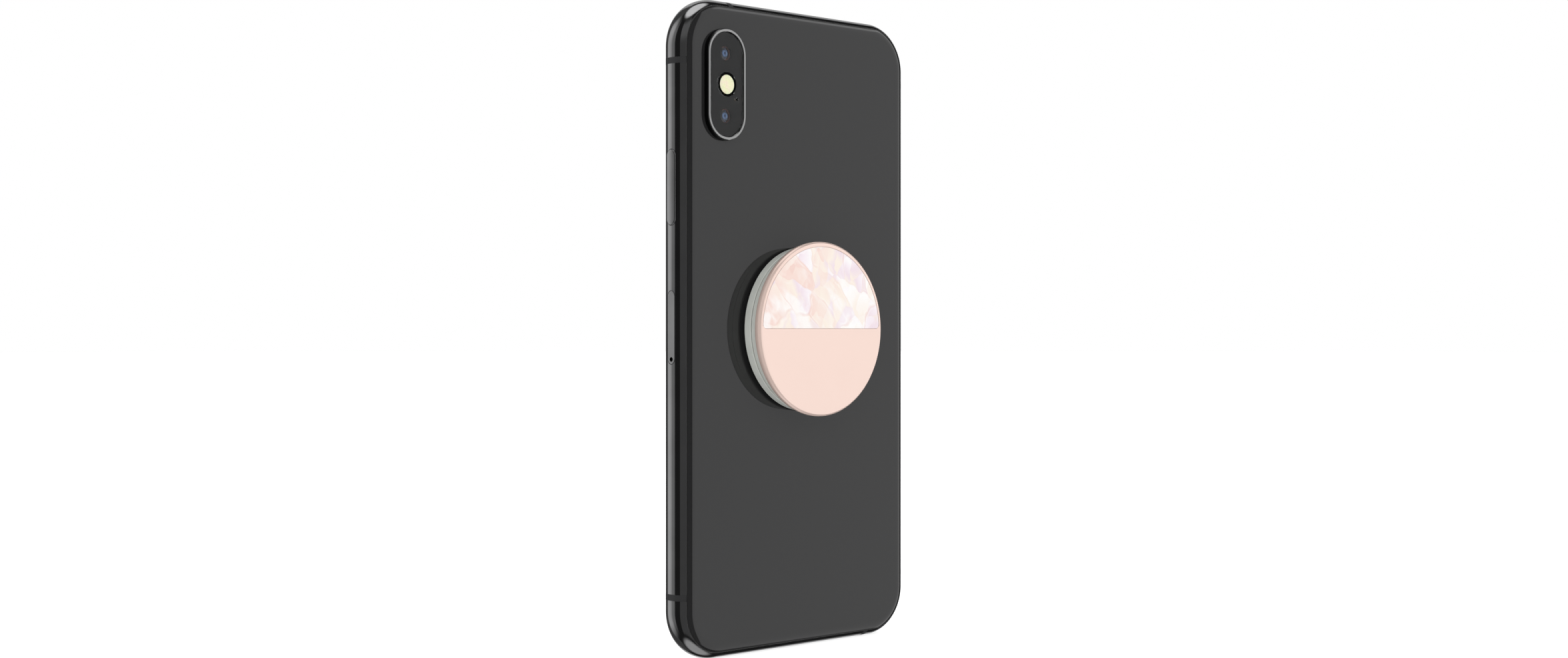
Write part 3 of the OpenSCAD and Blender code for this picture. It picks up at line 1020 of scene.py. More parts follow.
@dataclass(frozen=True)
class Pearl:
    """A polished pearl inlay: long facets of white, lilac, cream and peach with thin creases. Each facet carries
    painted shade from one side to the other, as light falls on folded film, and a painted highlight runs beside
    each crease.
    """

    name: str
    slot: str
    centre: Point2

    def material(self) -> bpy.types.Material:
        """Builds the material.

        Returns:
            The material.
        """
        s = Shader(self.name)
        middle = (self.centre[0], 0.0, self.centre[1])
        long_way = s.coords((1.0, 0.0, 0.5), middle, (0.0, 38.0, 0.0))
        short_way = s.coords((1.0, 0.0, 0.5), middle, (0.0, -24.0, 0.0))
        folded, crease = self.facets(s, self.swirl(s, long_way, 0.16, 2.6), 0.16)
        small, fine_crease = self.facets(s, self.swirl(s, short_way, 0.4, 1.2), 0.3)
        across = s.parts(s.coords(centre=middle))[0]
        side = s.remap(across, -17.0, 17.0, 0.2, -0.26)
        shade = s.math("ADD", s.math("MULTIPLY", folded, 0.72), s.math("MULTIPLY", small, 0.3))
        choice = s.math("ADD", shade, side)
        body = s.ramp(
            choice,
            (0.06, (0.71, 0.50, 0.45)),
            (0.24, (0.75, 0.57, 0.515)),
            (0.36, (0.765, 0.645, 0.585)),
            (0.47, (0.78, 0.70, 0.62)),
            (0.56, (0.71, 0.60, 0.655)),
            (0.66, (0.76, 0.69, 0.73)),
            (0.78, (0.80, 0.79, 0.785)),
            (0.95, (0.78, 0.705, 0.635)),
        )
        milk = s.remap(s.noise(self.swirl(s, long_way, 0.2, 4.0), 0.17, 3.0), 0.5, 0.68, 0.0, 0.75)
        body = s.mix(milk, body, (0.80, 0.79, 0.785))
        here = s.remap(s.noise(long_way, 0.23, 2.0), 0.44, 0.62, 0.1, 1.0)
        fine = s.math("MULTIPLY", here, s.remap(fine_crease, 0.0, 0.05, 0.16, 0.0))
        body = s.mix(fine, body, (0.74, 0.56, 0.50))
        # A painted highlight runs beside each crease.
        painted_crease_highlight = s.fade(s.math("ABSOLUTE", s.math("SUBTRACT", crease, 0.05)), 0.015, 0.05)
        body = s.mix(s.math("MULTIPLY", painted_crease_highlight, s.math("MULTIPLY", here, 0.5)), body, (0.82, 0.81, 0.79))
        # The thin lines along the cell edges are darker.
        folds = s.math("MULTIPLY", here, s.remap(crease, 0.0, 0.06, 0.42, 0.0))
        body = s.mix(folds, body, (0.71, 0.51, 0.46))
        lustre = s.noise(long_way, 0.7, 3.0, 0.6, 2.0)
        s.set(
            base_color=body,
            metallic=0.15,
            roughness=s.remap(lustre, 0.35, 0.65, 0.16, 0.26),
            normal=s.bump(crease, 0.02, over=s.bump(lustre, 0.003)),
            coat_weight=0.5,
            coat_roughness=0.04,
        )
        return s.material

    def facets(self, s: Shader, place: Socket, scale: float) -> tuple[Socket, Socket]:
        """Cells that each carry painted shade from one side to the other, as light falls on folded film, over a
        random tone per cell.

        Args:
            s: The shader.
            place: The coordinates.
            scale: The cells' scale, in cells per millimetre.

        Returns:
            The painted shade with a random tone per cell, and the distance to the nearest crease.
        """
        cells = s.cells(place, scale)
        away = s.node("VectorMath", place, cells.outputs["Position"], operation="SUBTRACT").outputs[0]
        way = s.node("VectorMath", cells.outputs["Color"], (0.5,) * 3, operation="SUBTRACT").outputs[0]
        slope = s.node("VectorMath", away, way, operation="DOT_PRODUCT").outputs["Value"]
        # Each cell is painted lighter on one side and darker on the other: painted shade, as light falls on folded
        # film.
        shade = s.remap(slope, -0.32 / scale, 0.32 / scale, 0.15, 0.85)
        tone = s.math("MULTIPLY", s.parts(cells.outputs["Color"])[1], 0.45)
        shade = s.math("ADD", s.math("MULTIPLY", shade, 0.65), tone)
        return shade, s.cells(place, scale, "DISTANCE_TO_EDGE").outputs["Distance"]

    def swirl(self, s: Shader, place: Socket, scale: float, reach: float) -> Socket:
        """Coordinates pushed about by a slow noise.

        Args:
            s: The shader.
            place: The coordinates.
            scale: The noise's scale, in cycles per millimetre.
            reach: How far a point is pushed, in millimetres.

        Returns:
            The pushed coordinates.
        """
        noise = s.node("TexNoise", place)
        noise.inputs["Scale"].default_value = scale
        noise.inputs["Detail"].default_value = 2.0
        push = s.node("VectorMath", noise.outputs["Color"], (0.5,) * 3, operation="SUBTRACT").outputs[0]
        far = s.node("VectorMath", push, (reach * 2,) * 3, operation="MULTIPLY").outputs[0]
        return s.node("VectorMath", place, far, operation="ADD").outputs[0]


@dataclass(frozen=True)
class SolderMask:
    """A green circuit board with copper traces under its lacquer and gold vias."""

    name: str
    slot: str

    def material(self) -> bpy.types.Material:
        """Builds the material.

        Returns:
            The material.
        """
        s = Shader(self.name)
        traces = s.cells(s.coords((1.0, 0.05, 1.0)), 0.9, "F1", "MANHATTAN")
        track = s.remap(s.math("FRACT", s.math("MULTIPLY", traces.outputs["Distance"], 5.0)), 0.35, 0.5)
        via = s.remap(traces.outputs["Distance"], 0.04, 0.07, 1.0, 0.0)
        green = s.mix(track, (0.008, 0.055, 0.036), (0.014, 0.085, 0.055))
        s.set(
            base_color=s.mix(via, green, (0.75, 0.52, 0.2)),
            roughness=s.remap(traces.outputs["Distance"], 0.0, 0.5, 0.28, 0.36),
            normal=s.bump(track, 0.012),
            coat_weight=0.3,
        )
        return s.material


@dataclass(frozen=True)
class Wrap:
    """The crinkled foil wrap of a pouch cell or a tape, with soft folds."""

    name: str
    slot: str
    colour: Colour
    roughness: float = 0.35
    crinkle: float = 0.05

    def material(self) -> bpy.types.Material:
        """Builds the material.

        Returns:
            The material.
        """
        s = Shader(self.name)
        folds = s.cells(s.coords((1.0, 1.0, 0.4)), 0.25, "SMOOTH_F1").outputs["Distance"]
        fine = s.noise(s.coords(), 1.2, 4.0)
        s.set(
            base_color=s.mix(s.remap(fine, 0.3, 0.7), toned(self.colour, 0.85), toned(self.colour, 1.15)),
            roughness=s.remap(fine, 0.3, 0.7, self.roughness * 0.8, self.roughness * 1.2),
            normal=s.bump(fine, 0.01, over=s.bump(folds, self.crinkle)),
        )
        return s.material


@dataclass(frozen=True)
class Trim:
    """Polished steel on a ring's land, with the steel side wall below it painted near black: painted reflection and
    shade of the dark glass beside it.
    """

    name: str
    slot: str
    land: Colour
    # Painted reflection and shade colour of the ring's steel side wall.
    side: Colour
    shade_edge_y: float

    def material(self) -> bpy.types.Material:
        """Builds the material.

        Returns:
            The material.
        """
        s = Shader(self.name)
        depth = s.parts(s.coords())[1]
        cloud = s.noise(s.coords(), 0.3, 3.0)
        # Below the land's edge the steel is painted near black: painted reflection and shade on the ring's side
        # wall, which is steel like the land.
        polished = s.remap(depth, self.shade_edge_y - 0.05, self.shade_edge_y + 0.03)
        s.set(
            metallic=1.0,
            base_color=s.mix(polished, self.side, self.land),
            roughness=s.remap(cloud, 0.3, 0.7, 0.09, 0.12),
        )
        return s.material


BUILT: dict[str, bpy.types.Material] = {}


def material_of(finish: object) -> bpy.types.Material:
    """The material of a finish, built once.

    Args:
        finish: The finish.

    Returns:
        Its material.
    """
    if finish.name not in BUILT:
        BUILT[finish.name] = finish.material()
    return BUILT[finish.name]


def place(piece: bpy.types.Object, body: str, finish: object, *nodes: str) -> bpy.types.Object:
    """Dresses a piece, lets it ride on a body and hides the CAD nodes that it stands for.

    Args:
        piece: The piece.
        body: The body that it rides on.
        finish: Its finish.
        nodes: CAD nodes that it replaces.

    Returns:
        The piece.
    """
    piece.data.materials.clear()
    piece.data.materials.append(material_of(finish))
    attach(piece, body)
    if nodes:
        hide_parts(*nodes)
    log.info("%s rides on %s, %d faces", piece.name, body, len(piece.data.polygons))
    return piece


def dress_node(finish: object, *nodes: str) -> None:
    """Gives CAD nodes that stay in view a finish.

    Args:
        finish: The finish.
        nodes: The CAD nodes.
    """
    for node in nodes:
        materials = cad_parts[node].data.materials
        materials.clear()
        materials.append(material_of(finish))
        log.info("%s keeps its own shape", node)


STEEL = Metal("band_steel", "band_steel", (0.43, 0.43, 0.435), 0.085)
BUTTON_STEEL = Metal("button_steel", "button_steel", (0.45, 0.45, 0.455), 0.11)
# The ring's near-black side colour is painted reflection and shade on steel.
RING_STEEL = Trim("ring_steel", "ring_steel", (0.36, 0.36, 0.36), (0.03, 0.03, 0.03), 4.93)
BREAK = Moulding("break_plastic", "break_plastic", (0.021, 0.021, 0.022), 0.5)
GASKET = Moulding("gasket", "gasket", (0.012, 0.012, 0.012), 0.6)
REAR_GLASS = DarkGlass("back_glass", "back_glass", (0.0125, 0.0125, 0.0128))
COVER_GLASS = ClearGlass("camera_glass", "camera_glass")
SLEEVE = Moulding("sleeve_black", "display_black", (0.003, 0.003, 0.003), 0.7, specular=0.0)
MASK = Moulding("camera_mask", "display_black", (0.006, 0.006, 0.006), 0.5, specular=0.1)
MODULE = Moulding("module_black", "module_black", (0.018, 0.018, 0.02), 0.45, coat=0.1)
SHEET = Metal("shield_steel", "shield_steel", (0.56, 0.56, 0.56), 0.28, (5.0, 0.6, 0.6), 0.002)
MILLED = Metal("inner_metal", "inner_metal", (0.62, 0.62, 0.63), 0.35, (1.0, 1.0, 12.0), 0.003)
SCREW = Metal("screw_steel", "screw_steel", (0.6, 0.6, 0.61), 0.2)
GOLD = Metal("gold_contact", "gold_contact", (0.83, 0.62, 0.27), 0.2)
COPPER = Metal("coil_copper", "coil_copper", (0.72, 0.36, 0.2), 0.25, (3.0, 3.0, 3.0), 0.002, 0.4)
GAUZE = Metal("mesh_black", "mesh_black", (0.05, 0.05, 0.05), 0.4)
CARD = Moulding("card_white", "card_white", (0.82, 0.82, 0.82), 0.4)
FERRITE = Moulding("ferrite", "ferrite", (0.035, 0.035, 0.04), 0.55, 3.0, 0.01)
GEL = Moulding("gel_black", "gel_black", (0.11, 0.11, 0.11), 0.6, 2.0, 0.01)
GRIP = Moulding("grip_plastic", "grip_plastic", (0.515, 0.53, 0.495), 0.32, scatter=0.15, coat=0.25)
STEM = Moulding("grip_stem", "grip_stem", (0.515, 0.53, 0.495), 0.55, scatter=0.2)
ROSE = RoseGold("rose_gold", "rose_gold", (0.85, 0.658, 0.586), 0.2, 0.5)


# ---------------------------------------------------------------- repeated shapes


class Pattern:
    """A Geometry Nodes tree with named sizes, for shapes that repeat or follow a rule."""

    def __init__(self, name: str, **sizes: float) -> None:
        """Makes the tree with one input for each size, in metres or a count.

        Args:
            name: The tree's name.
            sizes: The sizes. A whole number makes an integer input.
        """
        self.tree = bpy.data.node_groups.new(name, "GeometryNodeTree")
        self.sizes = sizes
        interface = self.tree.interface
        interface.new_socket("Geometry", in_out="INPUT", socket_type="NodeSocketGeometry")
        for label, size in sizes.items():
            kind = "NodeSocketInt" if isinstance(size, int) else "NodeSocketFloat"
            interface.new_socket(label, in_out="INPUT", socket_type=kind)
        interface.new_socket("Geometry", in_out="OUTPUT", socket_type="NodeSocketGeometry")
        self.source = self.tree.nodes.new("NodeGroupInput")

    def size(self, label: str) -> Socket:
        """The socket of a named size."""
        return self.source.outputs[label]

    def node(self, kind: str, *values: object, options: Optional[dict] = None, **named: object) -> Socket:
        """Adds a node and feeds its inputs.

        Args:
            kind: The node's full type.
            values: Inputs in order. None leaves one as it is.
            options: The node's own properties.
            named: Inputs by name, in lower case with underscores.

        Returns:
            The node's first output.
        """
        made = self.tree.nodes.new(kind)
        for option, value in (options or {}).items():
            setattr(made, option, value)
        pairs = [(s, v) for s, v in zip(made.inputs, values) if v is not None]
        by_name = {s.name.lower().replace(" ", "_"): s for s in made.inputs if s.enabled}
        pairs += [(by_name[name], value) for name, value in named.items()]
        for socket, value in pairs:
            if isinstance(value, Socket):
                self.tree.links.new(value, socket)
            else:
                socket.default_value = value
        return made.outputs[0]

    def math(self, operation: str, *values: object) -> Socket:
        """A math node on up to three values."""
        return self.node("ShaderNodeMath", *values, options={"operation": operation})

    def vector(self, x: object = 0.0, y: object = 0.0, z: object = 0.0) -> Socket:
        """A vector of three values."""
        return self.node("ShaderNodeCombineXYZ", x, y, z)

    def build(
        self, name: str, shape: Socket, finish: object, points: Sequence[Point3] = ((0.0, 0.0, 0.0),)
    ) -> bpy.types.Object:
        """Ends the tree and makes a plain mesh of its result.

        Args:
            name: The piece's name.
            shape: The geometry to end with.
            finish: The finish whose material the tree sets.
            points: Points in millimetres that the tree gets as its geometry.

        Returns:
            The new object.
        """
        real = self.node("GeometryNodeRealizeInstances", shape)
        dressed = self.node("GeometryNodeSetMaterial", real, material=material_of(finish))
        end = self.tree.nodes.new("NodeGroupOutput")
        self.tree.links.new(dressed, end.inputs[0])
        seeds = bpy.data.meshes.new(name)
        seeds.from_pydata([Vector(p) * MM for p in points], [], [])
        piece = new_object(name, seeds)
        change = piece.modifiers.new("pattern", "NODES")
        change.node_group = self.tree
        for item in self.tree.interface.items_tree:
            if item.item_type == "SOCKET" and item.in_out == "INPUT" and item.name in self.sizes:
                change[item.identifier] = self.sizes[item.name]
        evaluated(piece)
        smooth(piece.data, 40)
        return piece


def coil_pattern(name: str, turns: int, inner: float, outer: float, wire: float, y: float) -> bpy.types.Object:
    """A flat spiral coil of round wire.

    Args:
        name: The piece's name.
        turns: Number of turns.
        inner: Radius of the first turn's middle.
        outer: Radius of the last turn's middle.
        wire: Radius of the wire.
        y: Height of the coil's middle.

    Returns:
        The new object.
    """
    p = Pattern(name, Turns=turns, Inner=inner * MM, Outer=outer * MM, Wire=wire * MM, Lift=y * MM)
    spiral = p.node(
        "GeometryNodeCurveSpiral",
        resolution=72,
        rotations=p.size("Turns"),
        start_radius=p.size("Inner"),
        end_radius=p.size("Outer"),
        height=0.0,
    )
    wire_circle = p.node("GeometryNodeCurvePrimitiveCircle", resolution=8, radius=p.size("Wire"))
    tube = p.node("GeometryNodeCurveToMesh", curve=spiral, profile_curve=wire_circle, fill_caps=True)
    upright = p.node(
        "GeometryNodeTransform",
        geometry=tube,
        translation=p.vector(0.0, p.size("Lift"), MID_Z * MM),
        rotation=(math.pi / 2, 0.0, 0.0),
    )
    return p.build(name, upright, COPPER)


def contact_pattern(name: str, xs: Sequence[float], y: float, z: float, size: Point3) -> bpy.types.Object:
    """Rows of flat spring contacts on both walls of a port.

    Args:
        name: The piece's name.
        xs: Where each contact sits across the port.
        y: Distance of both rows from the middle.
        z: Height of the contacts' middle.
        size: Size of one contact.

    Returns:
        The new object.
    """
    p = Pattern(name, Width=size[0] * MM, Thickness=size[1] * MM, Length=size[2] * MM)
    bar = p.node("GeometryNodeMeshCube", size=p.vector(p.size("Width"), p.size("Thickness"), p.size("Length")))
    rows = p.node("GeometryNodeInstanceOnPoints", p.size("Geometry"), instance=bar)
    points = [(x, side * y, z) for x in xs for side in (-1, 1)]
    return edged(p.build(name, rows, GOLD, points), 0.05, 2)


def screw_pattern(
    name: str, heads: Sequence[Point3], head: Point2, shank: Point2, facing: Point3
) -> bpy.types.Object:
    """Small cheese-head screws with a drive recess, one at each point.

    Args:
        name: The piece's name.
        heads: Middle of each head's outer face.
        head: Radius and height of a head.
        shank: Radius and length of a shank.
        facing: Turn in degrees from +Z to the way that the heads face.

    Returns:
        The new object.
    """
    p = Pattern(
        name, HeadRadius=head[0] * MM, HeadHeight=head[1] * MM, ShankRadius=shank[0] * MM, ShankLength=shank[1] * MM
    )
    parts = []
    for corners, radius, depth, above in (
        (24, p.size("HeadRadius"), p.size("HeadHeight"), 0.0),
        (16, p.size("ShankRadius"), p.size("ShankLength"), p.size("HeadHeight")),
    ):
        tube = p.node("GeometryNodeMeshCylinder", vertices=corners, radius=radius, depth=depth)
        drop = p.math("SUBTRACT", p.math("MULTIPLY", depth, -0.5), above)
        parts.append(p.node("GeometryNodeTransform", geometry=tube, translation=p.vector(0.0, 0.0, drop)))
    drive = p.node(
        "GeometryNodeMeshCylinder",
        vertices=5,
        radius=p.math("MULTIPLY", p.size("HeadRadius"), 0.5),
        depth=p.size("HeadHeight"),
    )
    drilled = p.tree.nodes.new("GeometryNodeMeshBoolean")
    drilled.operation = "DIFFERENCE"
    drilled.solver = "EXACT"
    p.tree.links.new(parts[0], drilled.inputs[0])
    p.tree.links.new(drive, drilled.inputs[1])
    whole = p.tree.nodes.new("GeometryNodeJoinGeometry")
    for part in (drilled.outputs[0], parts[1]):
        p.tree.links.new(part, whole.inputs[0])
    turned_way = p.node(
        "GeometryNodeTransform", geometry=whole.outputs[0], rotation=tuple(math.radians(a) for a in facing)
    )
    rows = p.node("GeometryNodeInstanceOnPoints", p.size("Geometry"), instance=turned_way)
    return p.build(name, rows, SCREW, heads)


def gauze_pattern(
    name: str, holes: Sequence[Point3], radius: float, pitch: float, wire: float, turn: Point3
) -> bpy.types.Object:
    """Discs of woven gauze with a rim, one at each point.

    Args:
        name: The piece's name.
        holes: Middle of each disc.
        radius: Radius of a disc.
        pitch: Distance between wires.
        wire: Radius of a wire.
        turn: Turn in degrees from +Z to the way that the discs face.

    Returns:
        The new object.
    """
    count = int(2 * radius / pitch)
    p = Pattern(name, Wires=count, Radius=radius * MM, Pitch=pitch * MM, Wire=wire * MM)
    across = p.tree.nodes.new("GeometryNodeJoinGeometry")
    for quarter in range(2):
        gaps = p.math("SUBTRACT", p.size("Wires"), 1.0)
        start = p.math("MULTIPLY", p.math("MULTIPLY", gaps, p.size("Pitch")), -0.5)
        row = p.node(
            "GeometryNodeMeshLine",
            count=p.size("Wires"),
            start_location=p.vector(start, 0.0, 0.0),
            offset=p.vector(p.size("Pitch"), 0.0, 0.0),
        )
        place_x = p.tree.nodes.new("ShaderNodeSeparateXYZ")
        p.tree.links.new(p.node("GeometryNodeInputPosition"), place_x.inputs[0])
        ratio = p.math("DIVIDE", place_x.outputs[0], p.size("Radius"))
        chord = p.math("SQRT", p.math("MAXIMUM", p.math("SUBTRACT", 1.0, p.math("MULTIPLY", ratio, ratio)), 0.01))
        rod = p.node("GeometryNodeMeshCylinder", vertices=6, radius=p.size("Wire"),
                     depth=p.math("MULTIPLY", p.size("Radius"), 2.0))
        laid = p.node("GeometryNodeTransform", geometry=rod, rotation=(math.pi / 2, 0.0, 0.0))
        wires = p.node("GeometryNodeInstanceOnPoints", row, instance=laid, scale=p.vector(1.0, chord, 1.0))
        turned_row = p.node("GeometryNodeTransform", geometry=wires, rotation=(0.0, 0.0, quarter * math.pi / 2))
        p.tree.links.new(turned_row, across.inputs[0])
    hoop = p.node("GeometryNodeCurvePrimitiveCircle", resolution=32, radius=p.size("Radius"))
    rim_section = p.node("GeometryNodeCurvePrimitiveCircle", resolution=6,
                         radius=p.math("MULTIPLY", p.size("Wire"), 1.5))
    rim = p.node("GeometryNodeCurveToMesh", curve=hoop, profile_curve=rim_section)
    p.tree.links.new(rim, across.inputs[0])
    facing = p.node(
        "GeometryNodeTransform", geometry=across.outputs[0], rotation=tuple(math.radians(a) for a in turn)
    )
    rows = p.node("GeometryNodeInstanceOnPoints", p.size("Geometry"), instance=facing)
    return p.build(name, rows, GAUZE, holes)


def ring_pattern(
    name: str, count: int, first: float, pitch: float, bead: float, at: Point3, finish: object
) -> bpy.types.Object:
    """Concentric moulded rings that face the rear.

    Args:
        name: The piece's name.
        count: Number of rings.
        first: Radius of the smallest one.
        pitch: Step between rings.
        bead: Radius of a ring's own section.
        at: Their shared centre.
        finish: Their finish.

    Returns:
        The new object.
    """
    p = Pattern(name, Rings=count, First=first * MM, Pitch=pitch * MM, Bead=bead * MM)
    row = p.node("GeometryNodeMeshLine", count=p.size("Rings"), offset=(0.0, 0.0, 0.0))
    hoop = p.node("GeometryNodeCurvePrimitiveCircle", resolution=40, radius=1.0)
    index = p.node("GeometryNodeInputIndex")
    radius = p.math("ADD", p.size("First"), p.math("MULTIPLY", index, p.size("Pitch")))
    hoops = p.node("GeometryNodeInstanceOnPoints", row, instance=hoop, scale=p.vector(radius, radius, radius))
    real = p.node("GeometryNodeRealizeInstances", hoops)
    section = p.node("GeometryNodeCurvePrimitiveCircle", resolution=6, radius=p.size("Bead"))
    beads = p.node("GeometryNodeCurveToMesh", curve=real, profile_curve=section)
    facing = p.node(
        "GeometryNodeTransform",
        geometry=beads,
        translation=tuple(c * MM for c in at),
        rotation=(math.pi / 2, 0.0, 0.0),
    )
    return p.build(name, facing, finish)


def bellows_pattern(
    name: str, folds: int, radii: Point2, depth: float, low: float, high: float, centre: Point2
) -> bpy.types.Object:
    """A pleated, tapering tube about an axis along Y.

    Args:
        name: The piece's name.
        folds: Number of pleats.
        radii: Outer radius at the low and the high end.
        depth: How deep a pleat is.
        low: Y of its low end.
        high: Y of its high end.
        centre: X and Z of the axis.

    Returns:
        The new object, an open sheet without thickness.
    """
    p = Pattern(
        name,
        Folds=folds,
        LowRadius=radii[0] * MM,
        HighRadius=radii[1] * MM,
        Pleat=depth * MM,
        Length=(high - low) * MM,
    )
    rows = p.math("MULTIPLY", p.size("Folds"), 10)
    tube = p.node(
        "GeometryNodeMeshCylinder",
        vertices=96,
        side_segments=rows,
        radius=1.0,
        depth=p.size("Length"),
        options={"fill_type": "NONE"},
    )
    parts = p.tree.nodes.new("ShaderNodeSeparateXYZ")
    p.tree.links.new(p.node("GeometryNodeInputPosition"), parts.inputs[0])
    share = p.math("ADD", p.math("DIVIDE", parts.outputs[2], p.size("Length")), 0.5)
    wave = p.math("COSINE", p.math("MULTIPLY", p.math("MULTIPLY", share, p.size("Folds")), 2 * math.pi))
    dip = p.math("MULTIPLY", p.math("ADD", p.math("MULTIPLY", wave, -0.5), 0.5), p.size("Pleat"))
    taper = p.math("MULTIPLY", p.math("SUBTRACT", p.size("HighRadius"), p.size("LowRadius")), share)
    radius = p.math("SUBTRACT", p.math("ADD", p.size("LowRadius"), taper), dip)
    pleated = p.node(
        "GeometryNodeSetPosition",
        tube,
        position=p.vector(
            p.math("MULTIPLY", parts.outputs[0], radius),
            p.math("MULTIPLY", parts.outputs[1], radius),
            parts.outputs[2],
        ),
    )
    facing = p.node(
        "GeometryNodeTransform",
        geometry=pleated,
        translation=(centre[0] * MM, (low + high) / 2 * MM, centre[1] * MM),
        rotation=(-math.pi / 2, 0.0, 0.0),
    )
    return p.build(name, facing, STEM)


# ---------------------------------------------------------------- sub-assemblies


@dataclass
class Shell:
    """The steel band with its openings, antenna breaks and gaskets, and the glass on both faces.

    An opening in a side is given by its half width, its half length and the height of its middle.
    """

    edge_reach: float = 3.6
    edge_power: float = 0.87
    wall: float = 2.6
    lip_y: float = 3.28
    lip_inset: float = 1.45
    ledge_y: float = 2.95
    glass_inner_y: float = 3.05
    glass_inset: float = 1.72
    seal_width: float = 0.23
    break_width: float = 1.35
    break_rise: float = 57.7
    top_break_x: float = 20.8
    bottom_break_x: float = -22.0
    right_openings: tuple[Point3, ...] = ((1.4, 8.25, 102.25), (1.185, 7.96, 72.13))
    left_openings: tuple[Point3, ...] = ((1.4, 4.9, 103.0), (1.4, 4.9, 90.4), (1.6, 3.5, 114.6))
    through_side: Point2 = (32.0, 37.0)
    port_half: Point2 = (4.3, 1.5)
    screw_head_hole: float = 0.85
    screw_shank_hole: float = 0.57
    outline: Outline = field(default_factory=lambda: Outline(HALF_WIDTH, MID_Z, 10.9, (0.0, MID_Z), 32))

    def edge_point(self, angle: float) -> Point2:
        """Inset and depth of the rounded edge at an angle in degrees from the side to the rear.

        Args:
            angle: The angle.

        Returns:
            The inset and the depth.
        """
        a = math.radians(angle)
        rise = abs(math.sin(a)) ** self.edge_power
        return self.edge_reach * (1 - max(math.cos(a), 0.0) ** self.edge_power), math.copysign(BACK * rise, a)

    def angle_at_depth(self, y: float) -> float:
        """Angle at which the rounded edge reaches a depth."""
        return math.degrees(math.asin((y / BACK) ** (1 / self.edge_power)))

    def angle_at_inset(self, inset: float) -> float:
        """Angle at which the rounded edge reaches an inset."""
        return math.degrees(math.acos((1 - inset / self.edge_reach) ** (1 / self.edge_power)))

    def band_section(self, steps: int) -> list[Point2]:
        """Section of the band: the rounded outside, then the pockets and ledges for the glass.

        Args:
            steps: Steps from the middle of the outside to either lip.

        Returns:
            Points of inset and depth.
        """
        lip = self.angle_at_depth(self.lip_y)
        outside = [self.edge_point(lip * i / steps) for i in range(-steps, steps + 1)]
        inside = [
            (self.lip_inset, self.lip_y),
            (self.lip_inset, self.ledge_y),
            (self.wall, self.ledge_y),
            (self.wall, -self.ledge_y),
            (self.lip_inset, -self.ledge_y),
            (self.lip_inset, -self.lip_y),
        ]
        return outside + inside

    def break_cutters(self, grow: float) -> list[bpy.types.Object]:
        """Blocks at the six antenna breaks, wider by a small growth on each side.

        Args:
            grow: The growth.

        Returns:
            The blocks.
        """
        half, deep = self.break_width / 2 + grow, BACK + 1
        sides = [
            block("cutter", (x - 3, -deep, MID_Z + side * self.break_rise - half),
                  (x + 3, deep, MID_Z + side * self.break_rise + half))
            for side in (-1, 1)
            for x in (-HALF_WIDTH, HALF_WIDTH)
        ]
        ends = [
            block("cutter", (x - half, -deep, z - 3), (x + half, deep, z + 3))
            for x, z in ((self.top_break_x, HEIGHT), (self.bottom_break_x, 0.0))
        ]
        return sides + ends

    def opening_cutters(self) -> list[bpy.types.Object]:
        """Cutters for the buttons, the SIM tray, the port, the sound holes and the bottom screws.

        Returns:
            The cutters.
        """
        cutters = [
            prism(stadium(half_y, half_z, (0.0, z)), *self.through_side, facing)
            for facing, openings in ((Facing.RIGHT, self.right_openings), (Facing.LEFT, self.left_openings))
            for half_y, half_z, z in openings
        ]
        cutters.append(prism(stadium(*self.port_half), -3, 1, Facing.DOWN))
        for x in BottomEdge.sound_holes():
            cutters.append(prism(circle(BottomEdge.hole_radius, (x, 0.0)), -3, 1, Facing.DOWN))
        for x in (-BottomEdge.screw_x, BottomEdge.screw_x):
            cutters.append(prism(circle(self.screw_head_hole, (x, 0.0)), -1, 1, Facing.DOWN))
            cutters.append(prism(circle(self.screw_shank_hole, (x, 0.0)), -3, 0.5, Facing.DOWN))
        return cutters

    def band(self) -> None:
        """Builds the band and its antenna breaks."""
        band = sweep("steel_band", self.outline, self.band_section(40))
        carve(band, self.break_cutters(0.0) + self.opening_cutters())
        place(weighed(band), "phone", STEEL, "frame_band")
        breaks = sweep("antenna_break_strips", self.outline, self.band_section(24))
        carve(breaks, self.break_cutters(-0.012), keep=True)
        place(weighed(breaks), "phone", BREAK, "antenna_breaks")

    def gasket(self, side: int, name: str, node: str) -> None:
        """Builds the dark line between the band and one glass.

        Args:
            side: 1 for the rear, -1 for the front.
            name: The piece's name.
            node: The CAD node that it stands for.
        """
        gap = 0.02
        first, last = self.lip_inset + gap, self.lip_inset + gap + self.seal_width
        foot = self.wall - 0.1
        section = [
            (first, self.ledge_y + gap), (foot, self.ledge_y + gap), (foot, self.glass_inner_y - gap),
            (last, self.glass_inner_y - gap), (last, self.lip_y + 0.1), (first, self.lip_y + 0.02),
        ]
        piece = sweep(name, self.outline, [(inset, side * y) for inset, y in section])
        place(piece, "phone", GASKET, node)

    def glass(self, side: int, name: str) -> bpy.types.Object:
        """Builds one glass plate with its rounded edge.

        Args:
            side: 1 for the rear, -1 for the front.
            name: The piece's name.

        Returns:
            The plate.
        """
        first = self.angle_at_inset(self.glass_inset)
        curve = [self.edge_point(first + (90 - first) * i / 28) for i in range(29)]
        rim = [(10.0, self.glass_inner_y), (self.glass_inset + 0.05, self.glass_inner_y),
               (self.glass_inset, self.glass_inner_y + 0.05)]
        rim += curve + [(6.0, BACK), (10.0, BACK)]
        return sweep(name, self.outline, [(inset, side * y) for inset, y in rim], closed=False)

    def rear(self) -> None:
        """Builds the rear glass with its camera opening."""
        glass = self.glass(1, "rear_glass_plate")
        carve(glass, [prism(CameraGroup.pill(-0.05), 2, 5)])
        place(weighed(glass), "phone", REAR_GLASS, "rear_glass")

